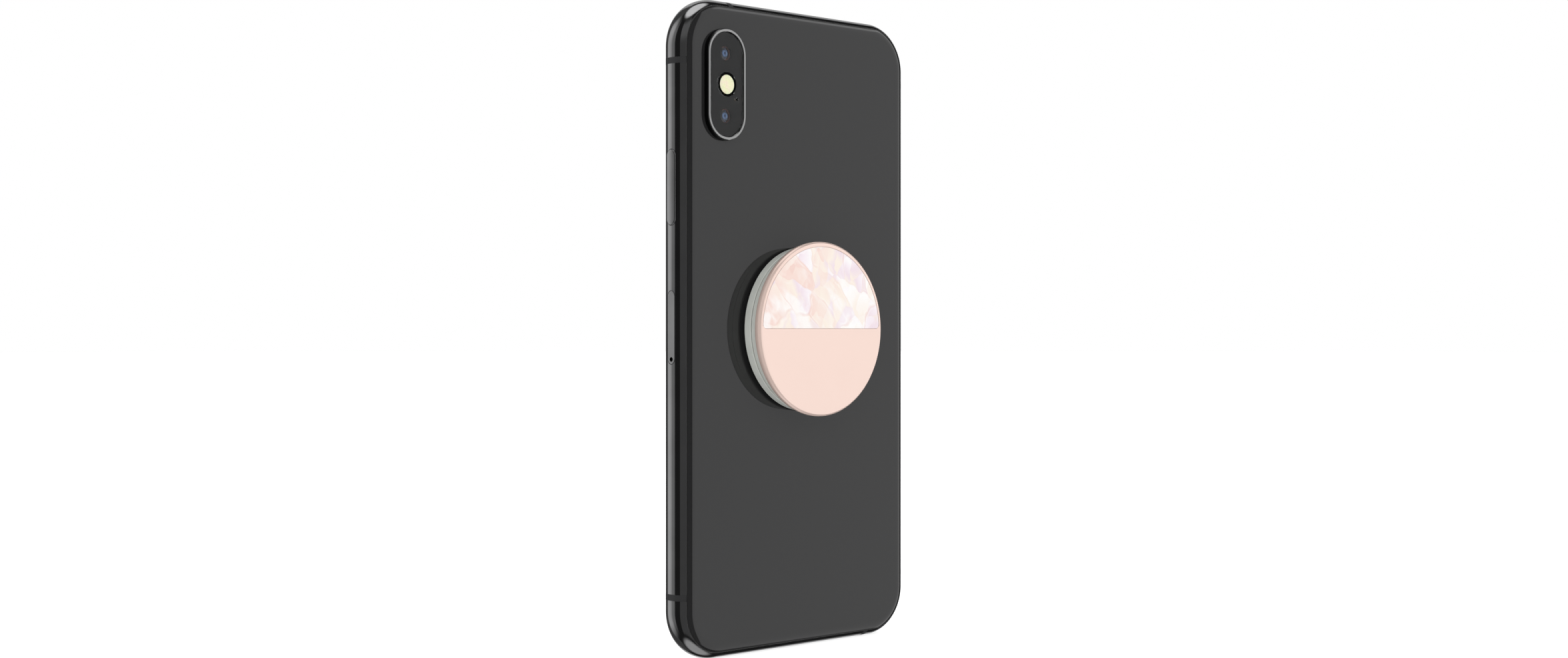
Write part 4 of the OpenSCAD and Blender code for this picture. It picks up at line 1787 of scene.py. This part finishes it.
    def front(self) -> None:
        """Builds the front glass with its earpiece slot."""
        glass = self.glass(-1, "front_glass_plate")
        carve(glass, [prism(stadium(4.7, 0.5, (0.0, 138.6)), -5, -2)])
        place(weighed(glass), "phone", DisplayGlass(), "display_glass")

    def build(self) -> None:
        """Builds every piece of the shell."""
        self.band()
        self.gasket(1, "rear_gasket", "rear_seal")
        self.gasket(-1, "front_gasket", "display_seal")
        self.rear()
        self.front()


@dataclass
class Lens:
    """One focusing lens barrel behind the camera's cover glass."""

    body: str
    centre: Point2
    radius: float = 2.65
    front_y: float = 4.02
    rear_y: float = 1.7
    element_radius: float = 1.58

    def build(self) -> None:
        """Builds the barrel with its stepped baffle, and the coated element in it."""
        r, y = self.element_radius, self.front_y
        steps = [(2.1, y), (2.1, y - 0.12), (r + 0.02, y - 0.12), (r + 0.02, y - 0.5), (0.0, y - 0.5)]
        section = [(0.0, self.rear_y), (self.radius - 0.1, self.rear_y), (self.radius, self.rear_y + 0.1),
                   (self.radius, y - 0.1), (self.radius - 0.1, y)] + steps
        place(turned(f"{self.body}_barrel", section, self.centre), self.body, MODULE, self.body)
        dome_radius, top = 6.0, y + 0.05
        span = math.asin(r / dome_radius)
        dome = [(0.0, y - 0.45), (r, y - 0.45)]
        for k in range(14, -1, -1):
            lean = span * k / 14
            dome.append((dome_radius * math.sin(lean), top - dome_radius * (1 - math.cos(lean))))
        finish = CoatedLens(f"lens_glass_{self.body}", "lens_glass", self.centre, r)
        place(turned(f"{self.body}_element", dome, self.centre), self.body, finish)


@dataclass
class CameraGroup:
    """The upright ring on the rear glass with its cover, two lenses, flash and microphone."""

    half_width: float = 5.6
    half_height: float = 12.15
    ring_top: float = 5.05
    ring_wall: float = 0.85
    cover_low: float = 4.45
    cover_high: float = 4.97
    mask_low: float = 4.30
    mask_high: float = 4.40
    lens_rise: float = 6.81
    lens_window: float = 1.6
    flash_radius: float = 2.1
    sleeve_wall: float = 0.54
    sleeve_gap: float = 0.02
    microphone_hole: float = 0.32
    microphone: Point2 = (20.75, 121.91)
    centre: Point2 = (23.63, 124.92)

    @staticmethod
    def pill(inset: float) -> Outline:
        """The ring's outline, moved in by a distance."""
        group = CameraGroup
        return stadium(group.half_width - inset, group.half_height - inset, group.centre, 24)

    def ring(self) -> None:
        """Builds the polished ring with the flange that holds it under the glass."""
        top, wall = self.ring_top, self.ring_wall
        section = rounded([
            (0.0, 3.02, 0.0), (0.0, top - 0.16, 0.12), (0.2, top, 0.12), (wall - 0.22, top, 0.1),
            (wall, top - 0.2, 0.06), (wall, 2.9, 0.0), (-0.7, 2.9, 0.0), (-0.7, 3.02, 0.0),
        ])
        place(weighed(sweep("camera_ring_trim", self.pill(0.0), section)), "phone", RING_STEEL, "camera_ring")

    def cover(self) -> None:
        """Builds the clear cover and the black mask under it."""
        pill = self.pill(self.ring_wall + 0.03)
        glass = plate("camera_cover", pill, self.cover_low, self.cover_high, 0.12)
        flash_hole = self.flash_radius + self.sleeve_wall + self.sleeve_gap
        holes = [circle(flash_hole, self.centre, 24), circle(self.microphone_hole, self.microphone, 8)]
        carve(glass, [prism(hole, 4, 6) for hole in holes])
        place(weighed(glass), "phone", COVER_GLASS, "camera_cover_glass")
        mask = plate("camera_mask_plate", pill, self.mask_low, self.mask_high, 0.03)
        x, z = self.centre
        holes += [circle(self.lens_window, (x, z + side * self.lens_rise), 20) for side in (-1, 1)]
        carve(mask, [prism(hole, 4, 6) for hole in holes])
        place(mask, "phone", MASK, "camera_light_mask")

    def flash(self) -> None:
        """Builds the diffuser with its moulded rings and black sleeve."""
        x, z = self.centre
        r, low, high = self.flash_radius + 0.02, self.mask_low - 0.1, self.cover_high
        finish = Diffuser("flash_diffuser", "flash_plastic", self.centre, r)
        lens = [
            (0.0, low), (r, low), (r, high - 0.14), (r - 0.06, high - 0.06),
            (r - 0.2, high - 0.04), (0.0, high - 0.04),
        ]
        place(turned("flash_diffuser", lens, self.centre), "phone", finish, "flash_lens")
        rings = ring_pattern("flash_rings", 8, 0.2, 0.24, 0.03, (x, high - 0.045, z), finish)
        place(rings, "phone", finish)
        inner, outer = r + 0.01, self.flash_radius + self.sleeve_wall
        sleeve = [(inner, low), (outer, low), (outer, high), (inner, high)]
        place(turned("flash_sleeve", rounded([(a, b, 0.02) for a, b in sleeve]), self.centre), "phone", SLEEVE)

    def build(self) -> None:
        """Builds every piece of the camera group."""
        self.ring()
        self.cover()
        x, z = self.centre
        Lens("wide_lens", (x, z + self.lens_rise)).build()
        Lens("tele_lens", (x, z - self.lens_rise)).build()
        self.flash()
        middle = (self.microphone[0], self.mask_low - 0.03, self.microphone[1])
        gauze = gauze_pattern("rear_microphone_gauze", [middle], 0.5, 0.1, 0.02, (-90.0, 0.0, 0.0))
        place(gauze, "phone", GAUZE)


@dataclass
class Controls:
    """The push buttons and the mute switch in the band."""

    width: float = 2.6
    top: float = 35.7
    flange: Point2 = (32.2, 32.8)
    plunger_x: float = 31.9

    def button(self, name: str, body: str, facing: Facing, z: float, length: float) -> None:
        """Builds one push button: crowned head, retaining flange and plunger.

        Args:
            name: The piece's name.
            body: The body that it rides on, named as its CAD node.
            facing: The side that it faces.
            z: Height of its middle.
            length: Length of its head.
        """
        side = 1 if facing is Facing.RIGHT else -1
        outline = stadium(self.width / 2, length / 2, (0.0, z), 16)
        head = plate("head", outline, self.flange[1], self.top, 0.22, facing, 0.05)
        spans = (
            (self.flange[0], self.flange[1] + 0.01, 1.65, length / 2 + 0.5),
            (self.plunger_x, self.flange[0] + 0.01, 0.6, 0.6),
        )
        shells = [weighed(head)]
        for low, high, half_y, half_z in spans:
            ends = sorted((side * low, side * high))
            stock = block("stock", (ends[0], -half_y, z - half_z), (ends[1], half_y, z + half_z))
            shells.append(edged(stock, 0.06))
        place(joined(name, shells), body, BUTTON_STEEL, body)

    def mute(self) -> None:
        """Builds the mute switch: a slim rounded head on a wide foot."""
        y, z = -0.6, 114.6
        head = plate("head", stadium(0.95, 2.85, (y, z), 16), 32.8, 35.65, 0.2, Facing.LEFT, 0.03)
        foot = edged(block("stock", (-32.81, y - 1.4, z - 3.8), (-32.2, y + 1.4, z + 3.8)), 0.06)
        place(joined("mute_slider", [weighed(head), foot]), "mute_switch", BUTTON_STEEL, "mute_switch")

    def build(self) -> None:
        """Builds the buttons and dresses their switches."""
        self.button("side_key", "side_button", Facing.RIGHT, 102.25, 16.3)
        self.button("volume_up_key", "volume_up_button", Facing.LEFT, 103.0, 9.6)
        self.button("volume_down_key", "volume_down_button", Facing.LEFT, 90.4, 9.6)
        self.mute()
        dress_node(SHEET, "side_switch", "volume_switches")
        dress_node(MODULE, "mute_switch_body")


@dataclass
class SimTray:
    """The SIM tray with its flush face and pin hole, its card, reader, rod and lever."""

    face_z: float = 72.13
    face_half: Point2 = (1.125, 7.9)
    pin_z: float = 65.27
    pin_radius: float = 0.5
    head_x: float = 33.0
    face_x: float = 35.42
    pocket_z: float = 73.05

    def build(self) -> None:
        """Builds the tray and the card, and dresses the reader's parts."""
        half_y, half_z = self.face_half
        outline = stadium(half_y, half_z, (0.0, self.face_z), 16)
        face = plate("face", outline, self.head_x, self.face_x, 0.12, Facing.RIGHT)
        pin = stadium(self.pin_radius, self.pin_radius, (0.0, self.pin_z), 8)
        carve(face, [prism(pin, 32, 37, Facing.RIGHT)])
        low, high = self.pocket_z - 6.55, self.pocket_z + 6.55
        tray = block("tray", (15.8, -0.75, low), (self.head_x + 0.01, 0.65, high))
        pocket = block("cutter", (17.5, -2.0, self.pocket_z - 6.25), (26.5, 0.1, self.pocket_z + 6.25))
        window = block("cutter", (19.0, -2.0, self.pocket_z - 5.0), (25.0, 2.0, self.pocket_z + 5.0))
        slot = prism(pin, 32, 37, Facing.RIGHT)
        carve(tray, [pocket, window, slot])
        shells = [weighed(face), edged(tray, 0.1)]
        place(joined("sim_tray_frame", shells), "sim_tray_body", BUTTON_STEEL, "sim_tray")
        card = plate("sim_card_plate", Outline(4.4, 6.15, 0.9, (22.0, self.pocket_z), 6), -0.58, 0.09, 0.08)
        place(weighed(card), "sim_tray_body", CARD, "sim_card")
        dress_node(SHEET, "sim_reader", "sim_eject_rod", "sim_eject_lever")


@dataclass
class BottomEdge:
    """The charging port, its contacts, the two screws and the sound holes' gauze."""

    hole_radius: float = 0.75
    screw_x: float = 6.9
    contact_count: int = 8
    contact_pitch: float = 0.72

    @staticmethod
    def sound_holes() -> list[float]:
        """X of each sound hole: six on the loudspeaker's side and three on the other."""
        return [11 + 2.55 * i for i in range(6)] + [-11 - 2.55 * i for i in range(3)]

    def build(self) -> None:
        """Builds the bottom edge's pieces."""
        place(refined("charging_connector", "port_shell", 0.12), "phone", SHEET, "charging_connector")
        middle = (self.contact_count - 1) / 2
        xs = [(i - middle) * self.contact_pitch for i in range(self.contact_count)]
        pins = contact_pattern("port_contacts", xs, 1.275, 6.5, (0.4, 0.23, 5.0))
        place(pins, "phone", GOLD, "charging_contacts")
        heads = [(side * self.screw_x, 0.0, 0.1) for side in (-1, 1)]
        screws = screw_pattern("bottom_edge_screws", heads, (0.8, 0.85), (0.55, 2.6), (180.0, 0.0, 0.0))
        place(screws, "phone", SCREW, "bottom_screws")
        holes = [(x, 0.0, 2.2) for x in self.sound_holes()]
        place(gauze_pattern("sound_hole_gauze", holes, 0.72, 0.16, 0.03, (0.0, 0.0, 0.0)), "phone", GAUZE)


@dataclass
class Grip:
    """The collapsible grip: gel pad, base, pleated stem, tray, rose gold cap and pearl inlay."""

    centre: Point2 = (0.0, MID_Z)
    base_radius: float = 18.4
    cap_radius: float = 19.5
    inlay_radius: float = 18.35
    inlay_foot: float = 0.12
    inlay_fillet: float = 0.9
    inlay_depth: float = 0.48
    top: float = 6.9

    def turned_piece(self, name: str, corners: Sequence[Point3], steps: int = 144) -> bpy.types.Object:
        """Turns a section of radius, height above the rear glass and corner radius about the grip's axis."""
        section = [(r, BACK + height) for r, height in rounded(corners, 6)]
        return weighed(turned(name, section, self.centre, steps))

    def half_disc(self, grow: float, inset: float) -> list[Point2]:
        """Outline of the inlay: the upper half of a disc with rounded lower corners.

        Args:
            grow: How much the whole outline grows.
            inset: How far it then moves in.

        Returns:
            Points of X and Z, the same number for every growth and inset.
        """
        radius = self.inlay_radius + grow - inset
        fillet = max(self.inlay_fillet + grow - inset, 0.02)
        foot = self.inlay_foot - grow + inset
        reach = math.sqrt((radius - fillet) ** 2 - (foot + fillet) ** 2)
        turn = math.degrees(math.atan2(foot + fillet, reach))
        points = arc((reach, foot + fillet), fillet, -90, turn, 8)
        points += arc((0.0, 0.0), radius, turn, 180 - turn, 96)[1:-1]
        points += arc((-reach, foot + fillet), fillet, 180 - turn, 270, 8)
        return [(x + self.centre[0], z + self.centre[1]) for x, z in points]

    def half_disc_solid(self, name: str, grow: float, levels: Sequence[Point2]) -> bpy.types.Object:
        """Stacks the inlay's outline at levels of inset and height.

        Args:
            name: The piece's name.
            grow: How much the outline grows.
            levels: Inset and height of each level.

        Returns:
            The new object.
        """
        bm = bmesh.new()
        rings = [
            [Vector((x, BACK + height, z)) * MM for x, z in self.half_disc(grow, inset)] for inset, height in levels
        ]
        skin(bm, rings, closed=False)
        return finished(bm, name)

    def cap(self) -> None:
        """Builds the cap with its polished rim and the recess for the inlay."""
        r, top = self.cap_radius, self.top
        corners = [
            (0.0, 4.05, 0.0), (4.0, 4.05, 0.1), (4.0, 4.9, 0.05), (r - 0.75, 4.9, 0.1), (r - 0.12, 5.3, 0.5),
            (r, 5.9, 0.5), (r, top - 0.5, 0.45), (r - 0.42, top - 0.08, 0.4), (r - 0.95, top, 0.25),
            (0.0, top, 0.0),
        ]
        cap = self.turned_piece("grip_cap_shell", corners, 192)
        floor = top - self.inlay_depth - 0.02
        recess = self.half_disc_solid("cutter", 0.012, [(0.0, floor), (0.0, top + 1)])
        carve(cap, [recess])
        place(weighed(cap), "grip_top", ROSE, "grip_cap").visible_glossy = False

    def inlay(self) -> None:
        """Builds the polished inlay with its rounded edge."""
        top = self.top
        levels = [(0.0, top - self.inlay_depth)]
        levels += [(0.07 - x, top - 0.07 + y) for x, y in arc((0.0, 0.0), 0.07, 0, 90, 5)]
        piece = self.half_disc_solid("pearl_inlay", 0.0, levels)
        finish = Pearl("pearl", "pearl", (self.centre[0], self.centre[1] + 8.0))
        place(weighed(piece), "grip_top", finish, "grip_inlay").visible_glossy = False

    def stem(self) -> None:
        """Builds the pleated stem between the base and the tray, in one fixed shape that rides on no body."""
        low, high = BACK + 1.36, BACK + 4.56
        sheet = bellows_pattern("grip_bellows", 4, (16.7, 13.0), 2.1, low, high, self.centre)
        change = sheet.modifiers.new("wall", "SOLIDIFY")
        change.thickness = 0.2 * MM
        change.offset = -1.0
        evaluated(sheet)
        bm = bmesh.new()
        bm.from_mesh(sheet.data)
        bmesh.ops.recalc_face_normals(bm, faces=bm.faces)
        bm.to_mesh(sheet.data)
        bm.free()
        smooth(sheet.data, 70)
        sheet.data.materials.clear()
        sheet.data.materials.append(material_of(STEM))
        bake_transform(sheet)
        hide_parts("grip_collar_low", "grip_collar_mid", "grip_collar_high")

    def build(self) -> None:
        """Builds every piece of the grip."""
        r = self.base_radius
        pad = [(0.0, 0.02, 0.0), (17.4, 0.02, 0.1), (17.4, 0.8, 0.1), (0.0, 0.8, 0.0)]
        place(self.turned_piece("grip_gel_pad", pad), "phone", GEL, "grip_adhesive")
        base = [(0.0, 0.82, 0.0), (r - 0.2, 0.82, 0.12), (r, 1.05, 0.12), (r, 2.9, 0.16),
                (r - 1.1, 2.9, 0.1), (r - 1.1, 1.3, 0.2), (0.0, 1.3, 0.0)]
        place(self.turned_piece("grip_base_dish", base), "phone", GRIP, "grip_base")
        tray = [(4.15, 4.85, 0.0), (r - 0.15, 4.85, 0.1), (r - 0.15, 3.05, 0.16), (r - 1.05, 3.05, 0.1),
                (r - 1.05, 4.6, 0.15), (10.0, 4.6, 0.1), (10.0, 1.6, 0.1), (9.0, 1.6, 0.1),
                (9.0, 4.6, 0.1), (4.15, 4.6, 0.0)]
        place(self.turned_piece("grip_tray_disc", tray), "grip_tray", GRIP, "grip_tray")
        self.stem()
        self.cap()
        self.inlay()


@dataclass
class Inside:
    """What the shell encloses: plates, boards, cells, drivers, coil and screws."""

    board_screws: tuple[Point2, ...] = ((9.2, 109.5), (30.0, 109.5), (30.3, 58.3), (-28.3, 125.5), (14.8, 125.5))
    camera_screws: tuple[Point2, ...] = ((30.7, 119.0), (30.7, 131.0))

    def coil(self) -> None:
        """Builds the charging coil as one wound wire."""
        coil = coil_pattern("charging_coil", 17, 10.3, 21.7, 0.29, 2.68)
        place(coil, "phone", COPPER, "wireless_coil")

    def screws(self) -> None:
        """Builds the screws that hold the board and the camera bracket."""
        heads = [(x, 0.77, z) for x, z in self.board_screws]
        board = screw_pattern("board_screws", heads, (1.0, 0.36), (0.5, 1.7), (90.0, 0.0, 0.0))
        heads = [(x, -2.13, z) for x, z in self.camera_screws]
        bracket = screw_pattern("bracket_screws", heads, (1.0, 0.36), (0.5, 4.6), (90.0, 0.0, 0.0))
        place(joined("internal_screw_set", [board, bracket]), "phone", SCREW, "internal_screws")

    def earpiece(self) -> None:
        """Builds the earpiece's woven gauze."""
        discs = [(1.05 * step, -3.35, 138.6) for step in range(-4, 5)]
        gauze = gauze_pattern("earpiece_gauze", discs, 0.46, 0.13, 0.025, (90.0, 0.0, 0.0))
        backing = plate("backing", stadium(4.67, 0.47, (0.0, 138.6)), -3.25, -3.12, 0.03)
        place(joined("earpiece_mesh_strip", [gauze, backing]), "phone", GAUZE, "earpiece_mesh")

    def build(self) -> None:
        """Dresses the inner nodes and builds the detailed ones."""
        cell = Wrap("battery_black", "battery_black", (0.018, 0.018, 0.02))
        tape = Wrap("adhesive_white", "adhesive_white", (0.78, 0.78, 0.76), 0.5, 0.01)
        panel = Moulding("display_black", "display_black", (0.006, 0.006, 0.008), 0.25, coat=0.5)
        module_coated = Moulding("module_housing", "module_black", (0.022, 0.022, 0.024), 0.4, coat=0.15)
        dress_node(MILLED, "mid_plate")
        dress_node(panel, "display_panel")
        dress_node(SHEET, "display_backplate", "front_sensor_bracket", "camera_bracket", "haptic_case")
        dress_node(MODULE, "earpiece_speaker", "front_camera", "infrared_camera", "dot_projector")
        dress_node(CARD, "flash_board")
        dress_node(GOLD, "rear_microphone", "bottom_microphones")
        dress_node(SolderMask("board_green", "board_green"), "logic_board")
        dress_node(tape, "battery_adhesive")
        dress_node(FERRITE, "haptic_mass", "coil_shield")
        for node, name, width, finish in (
            ("battery_cells", "battery_pouches", 0.8, cell),
            ("board_shields", "shield_cans", 0.2, SHEET),
            ("loudspeaker", "loudspeaker_box", 0.3, module_coated),
        ):
            place(refined(node, name, width, 3), "phone", finish, node)
        for node in ("wide_camera", "tele_camera"):
            place(refined(node, f"{node}_housing", 0.2), "phone", module_coated, node)
        self.coil()
        self.screws()
        self.earpiece()


# ---------------------------------------------------------------- studio


@dataclass(frozen=True)
class Panel:
    """A soft light panel or grey card, as polished surfaces see it. Angles are in degrees."""

    bearing: float
    half_width: float
    height: float
    half_height: float
    level: float
    soft_across: float = 6.0
    soft_up: float = 8.0

    def seen(self, s: Nodes, bearing: Socket, height: Socket) -> Socket:
        """Level that the panel adds in a direction.

        Args:
            s: The tree that gets the nodes.
            bearing: The direction's bearing from +Y towards +X.
            height: The direction's height above the horizon.

        Returns:
            The level.
        """
        turned = s.math("WRAP", s.math("SUBTRACT", bearing, self.bearing), -180.0, 180.0)
        across = s.fade(s.math("ABSOLUTE", turned), self.half_width, self.soft_across)
        up = s.fade(s.math("ABSOLUTE", s.math("SUBTRACT", height, self.height)), self.half_height, self.soft_up)
        return s.math("MULTIPLY", s.math("MULTIPLY", across, up), self.level)


PANELS = {
    "rear sweep": Panel(-50.0, 28.0, 2.0, 42.0, 0.93, 5.0, 6.0),
    "rear sweep's side strip": Panel(-74.0, 5.0, 0.0, 40.0, 0.35, 4.0),
    "rear sweep's top strip": Panel(-60.0, 16.0, 36.0, 4.0, 0.9, 6.0, 5.0),
    "side strip": Panel(140.0, 22.0, 5.0, 40.0, 0.23, 8.0, 30.0),
    "side strip's core": Panel(150.0, 12.0, 5.0, 40.0, 0.36, 14.0, 30.0),
    "front haze": Panel(180.0, 20.0, 5.0, 60.0, 0.06, 10.0),
    "side card": Panel(28.0, 50.0, 0.0, 50.0, 0.065, 5.0, 10.0),
    "side card's upper part": Panel(48.0, 30.0, 38.0, 18.0, 0.08, 6.0, 20.0),
    "far panel": Panel(-136.0, 24.0, 8.0, 44.0, 0.45, 8.0, 10.0),
    "ceiling": Panel(0.0, 190.0, 90.0, 24.0, 1.1, 1.0, 10.0),
    "floor": Panel(0.0, 190.0, -90.0, 27.0, 0.5, 1.0, 14.0),
}


@dataclass
class Studio:
    """Pale floor, soft lights and a level camera that looks at the phone's rear from its right."""

    bearing: float = 44.33
    distance: float = 455.1
    aside: float = 1.12
    lens: float = 46.01
    matt: float = 1.12
    second_gloss: float = 0.75
    room: float = 0.02

    def camera(self) -> None:
        """Sets the camera, level with the middle of the phone."""
        data = bpy.data.cameras.new("camera")
        data.lens = self.lens
        data.sensor_width = 36.0
        data.clip_start, data.clip_end = 0.01, 20.0
        camera = bpy.data.objects.new("camera", data)
        bpy.context.scene.collection.objects.link(camera)
        a = math.radians(self.bearing)
        x = self.distance * math.sin(a) + self.aside * math.cos(a)
        y = self.distance * math.cos(a) - self.aside * math.sin(a)
        camera.location = Vector((x, y, MID_Z)) * MM
        look = Vector((-math.sin(a), -math.cos(a), 0.0))
        camera.rotation_mode = "QUATERNION"
        camera.rotation_quaternion = look.to_track_quat("-Z", "Y")
        bpy.context.scene.camera = camera

    def surroundings(self) -> None:
        """Sets the surroundings: a white sweep, with dark and grey panels where the gloss needs them."""
        world = bpy.data.worlds.new("surroundings")
        bpy.context.scene.world = world
        world.use_nodes = True
        s = Nodes(world.node_tree)
        across, along, up = s.parts(s.node("TexCoord").outputs["Generated"])
        bearing = s.math("DEGREES", s.math("ARCTAN2", across, along))
        height = s.math("DEGREES", s.math("ARCSINE", up))
        level = self.room
        for panel in PANELS.values():
            level = s.math("ADD", level, panel.seen(s, bearing, height))
        path = s.node("LightPath").outputs
        second = s.math("MULTIPLY", s.math("GREATER_THAN", path["Ray Depth"], 2.5), path["Is Glossy Ray"])
        seen = s.mix(second, level, (self.second_gloss,) * 3)
        seen = s.mix(path["Is Diffuse Ray"], seen, (self.matt,) * 3)
        seen = s.mix(path["Is Camera Ray"], seen, (1.0, 1.0, 1.0))
        light = s.node("Background", seen, 1.0)
        s.node("OutputWorld", light.outputs[0])

    def lamp(self, name: str, at: Point3, size: float, power: float) -> None:
        """Adds a soft lamp that lifts matt surfaces and doesn't show in gloss.

        Args:
            name: The lamp's name.
            at: Its place. It points at the middle of the phone.
            size: Its side, in millimetres.
            power: Its power in watts.
        """
        data = bpy.data.lights.new(name, "AREA")
        data.size = size * MM
        data.energy = power
        lamp = bpy.data.objects.new(name, data)
        bpy.context.scene.collection.objects.link(lamp)
        lamp.location = Vector(at) * MM
        aim = Vector((0.0, 0.0, MID_Z)) * MM - lamp.location
        lamp.rotation_mode = "QUATERNION"
        lamp.rotation_quaternion = aim.to_track_quat("-Z", "Y")
        lamp.visible_glossy = False
        lamp.visible_camera = False

    def floor(self) -> None:
        """Lays the pale floor, which doesn't show in gloss."""
        bm = bmesh.new()
        bmesh.ops.create_circle(bm, cap_ends=True, segments=96, radius=6.0)
        ground = finished(bm, "floor")
        s = Shader("floor_paint")
        grain = s.noise(s.coords(), 0.02, 3.0)
        s.set(
            base_color=s.mix(s.remap(grain, 0.3, 0.7), (0.49, 0.49, 0.49), (0.51, 0.51, 0.51)),
            roughness=s.remap(grain, 0.3, 0.7, 0.8, 0.9),
            specular_ior_level=0.0,
            emission_color=(1.0, 1.0, 1.0),
            emission_strength=0.72,
        )
        ground.data.materials.append(s.material)
        ground.visible_glossy = False

    def build(self) -> None:
        """Sets up the whole studio."""
        self.camera()
        self.surroundings()
        self.lamp("key_lamp", (260.0, 520.0, 420.0), 380.0, 0.6)
        self.lamp("fill_lamp", (520.0, 60.0, 260.0), 420.0, 0.3)
        self.lamp("front_lamp", (-200.0, -520.0, 380.0), 420.0, 0.6)
        self.floor()
        bpy.context.scene.view_settings.view_transform = "Standard"


def main() -> None:
    """Builds the studio, then each sub-assembly in order."""
    assemblies = (Studio(), Shell(), CameraGroup(), Controls(), SimTray(), BottomEdge(), Grip(), Inside())
    for assembly in assemblies:
        log.info("building %s", type(assembly).__name__)
        assembly.build()


if __name__ == "__main__":
    main()
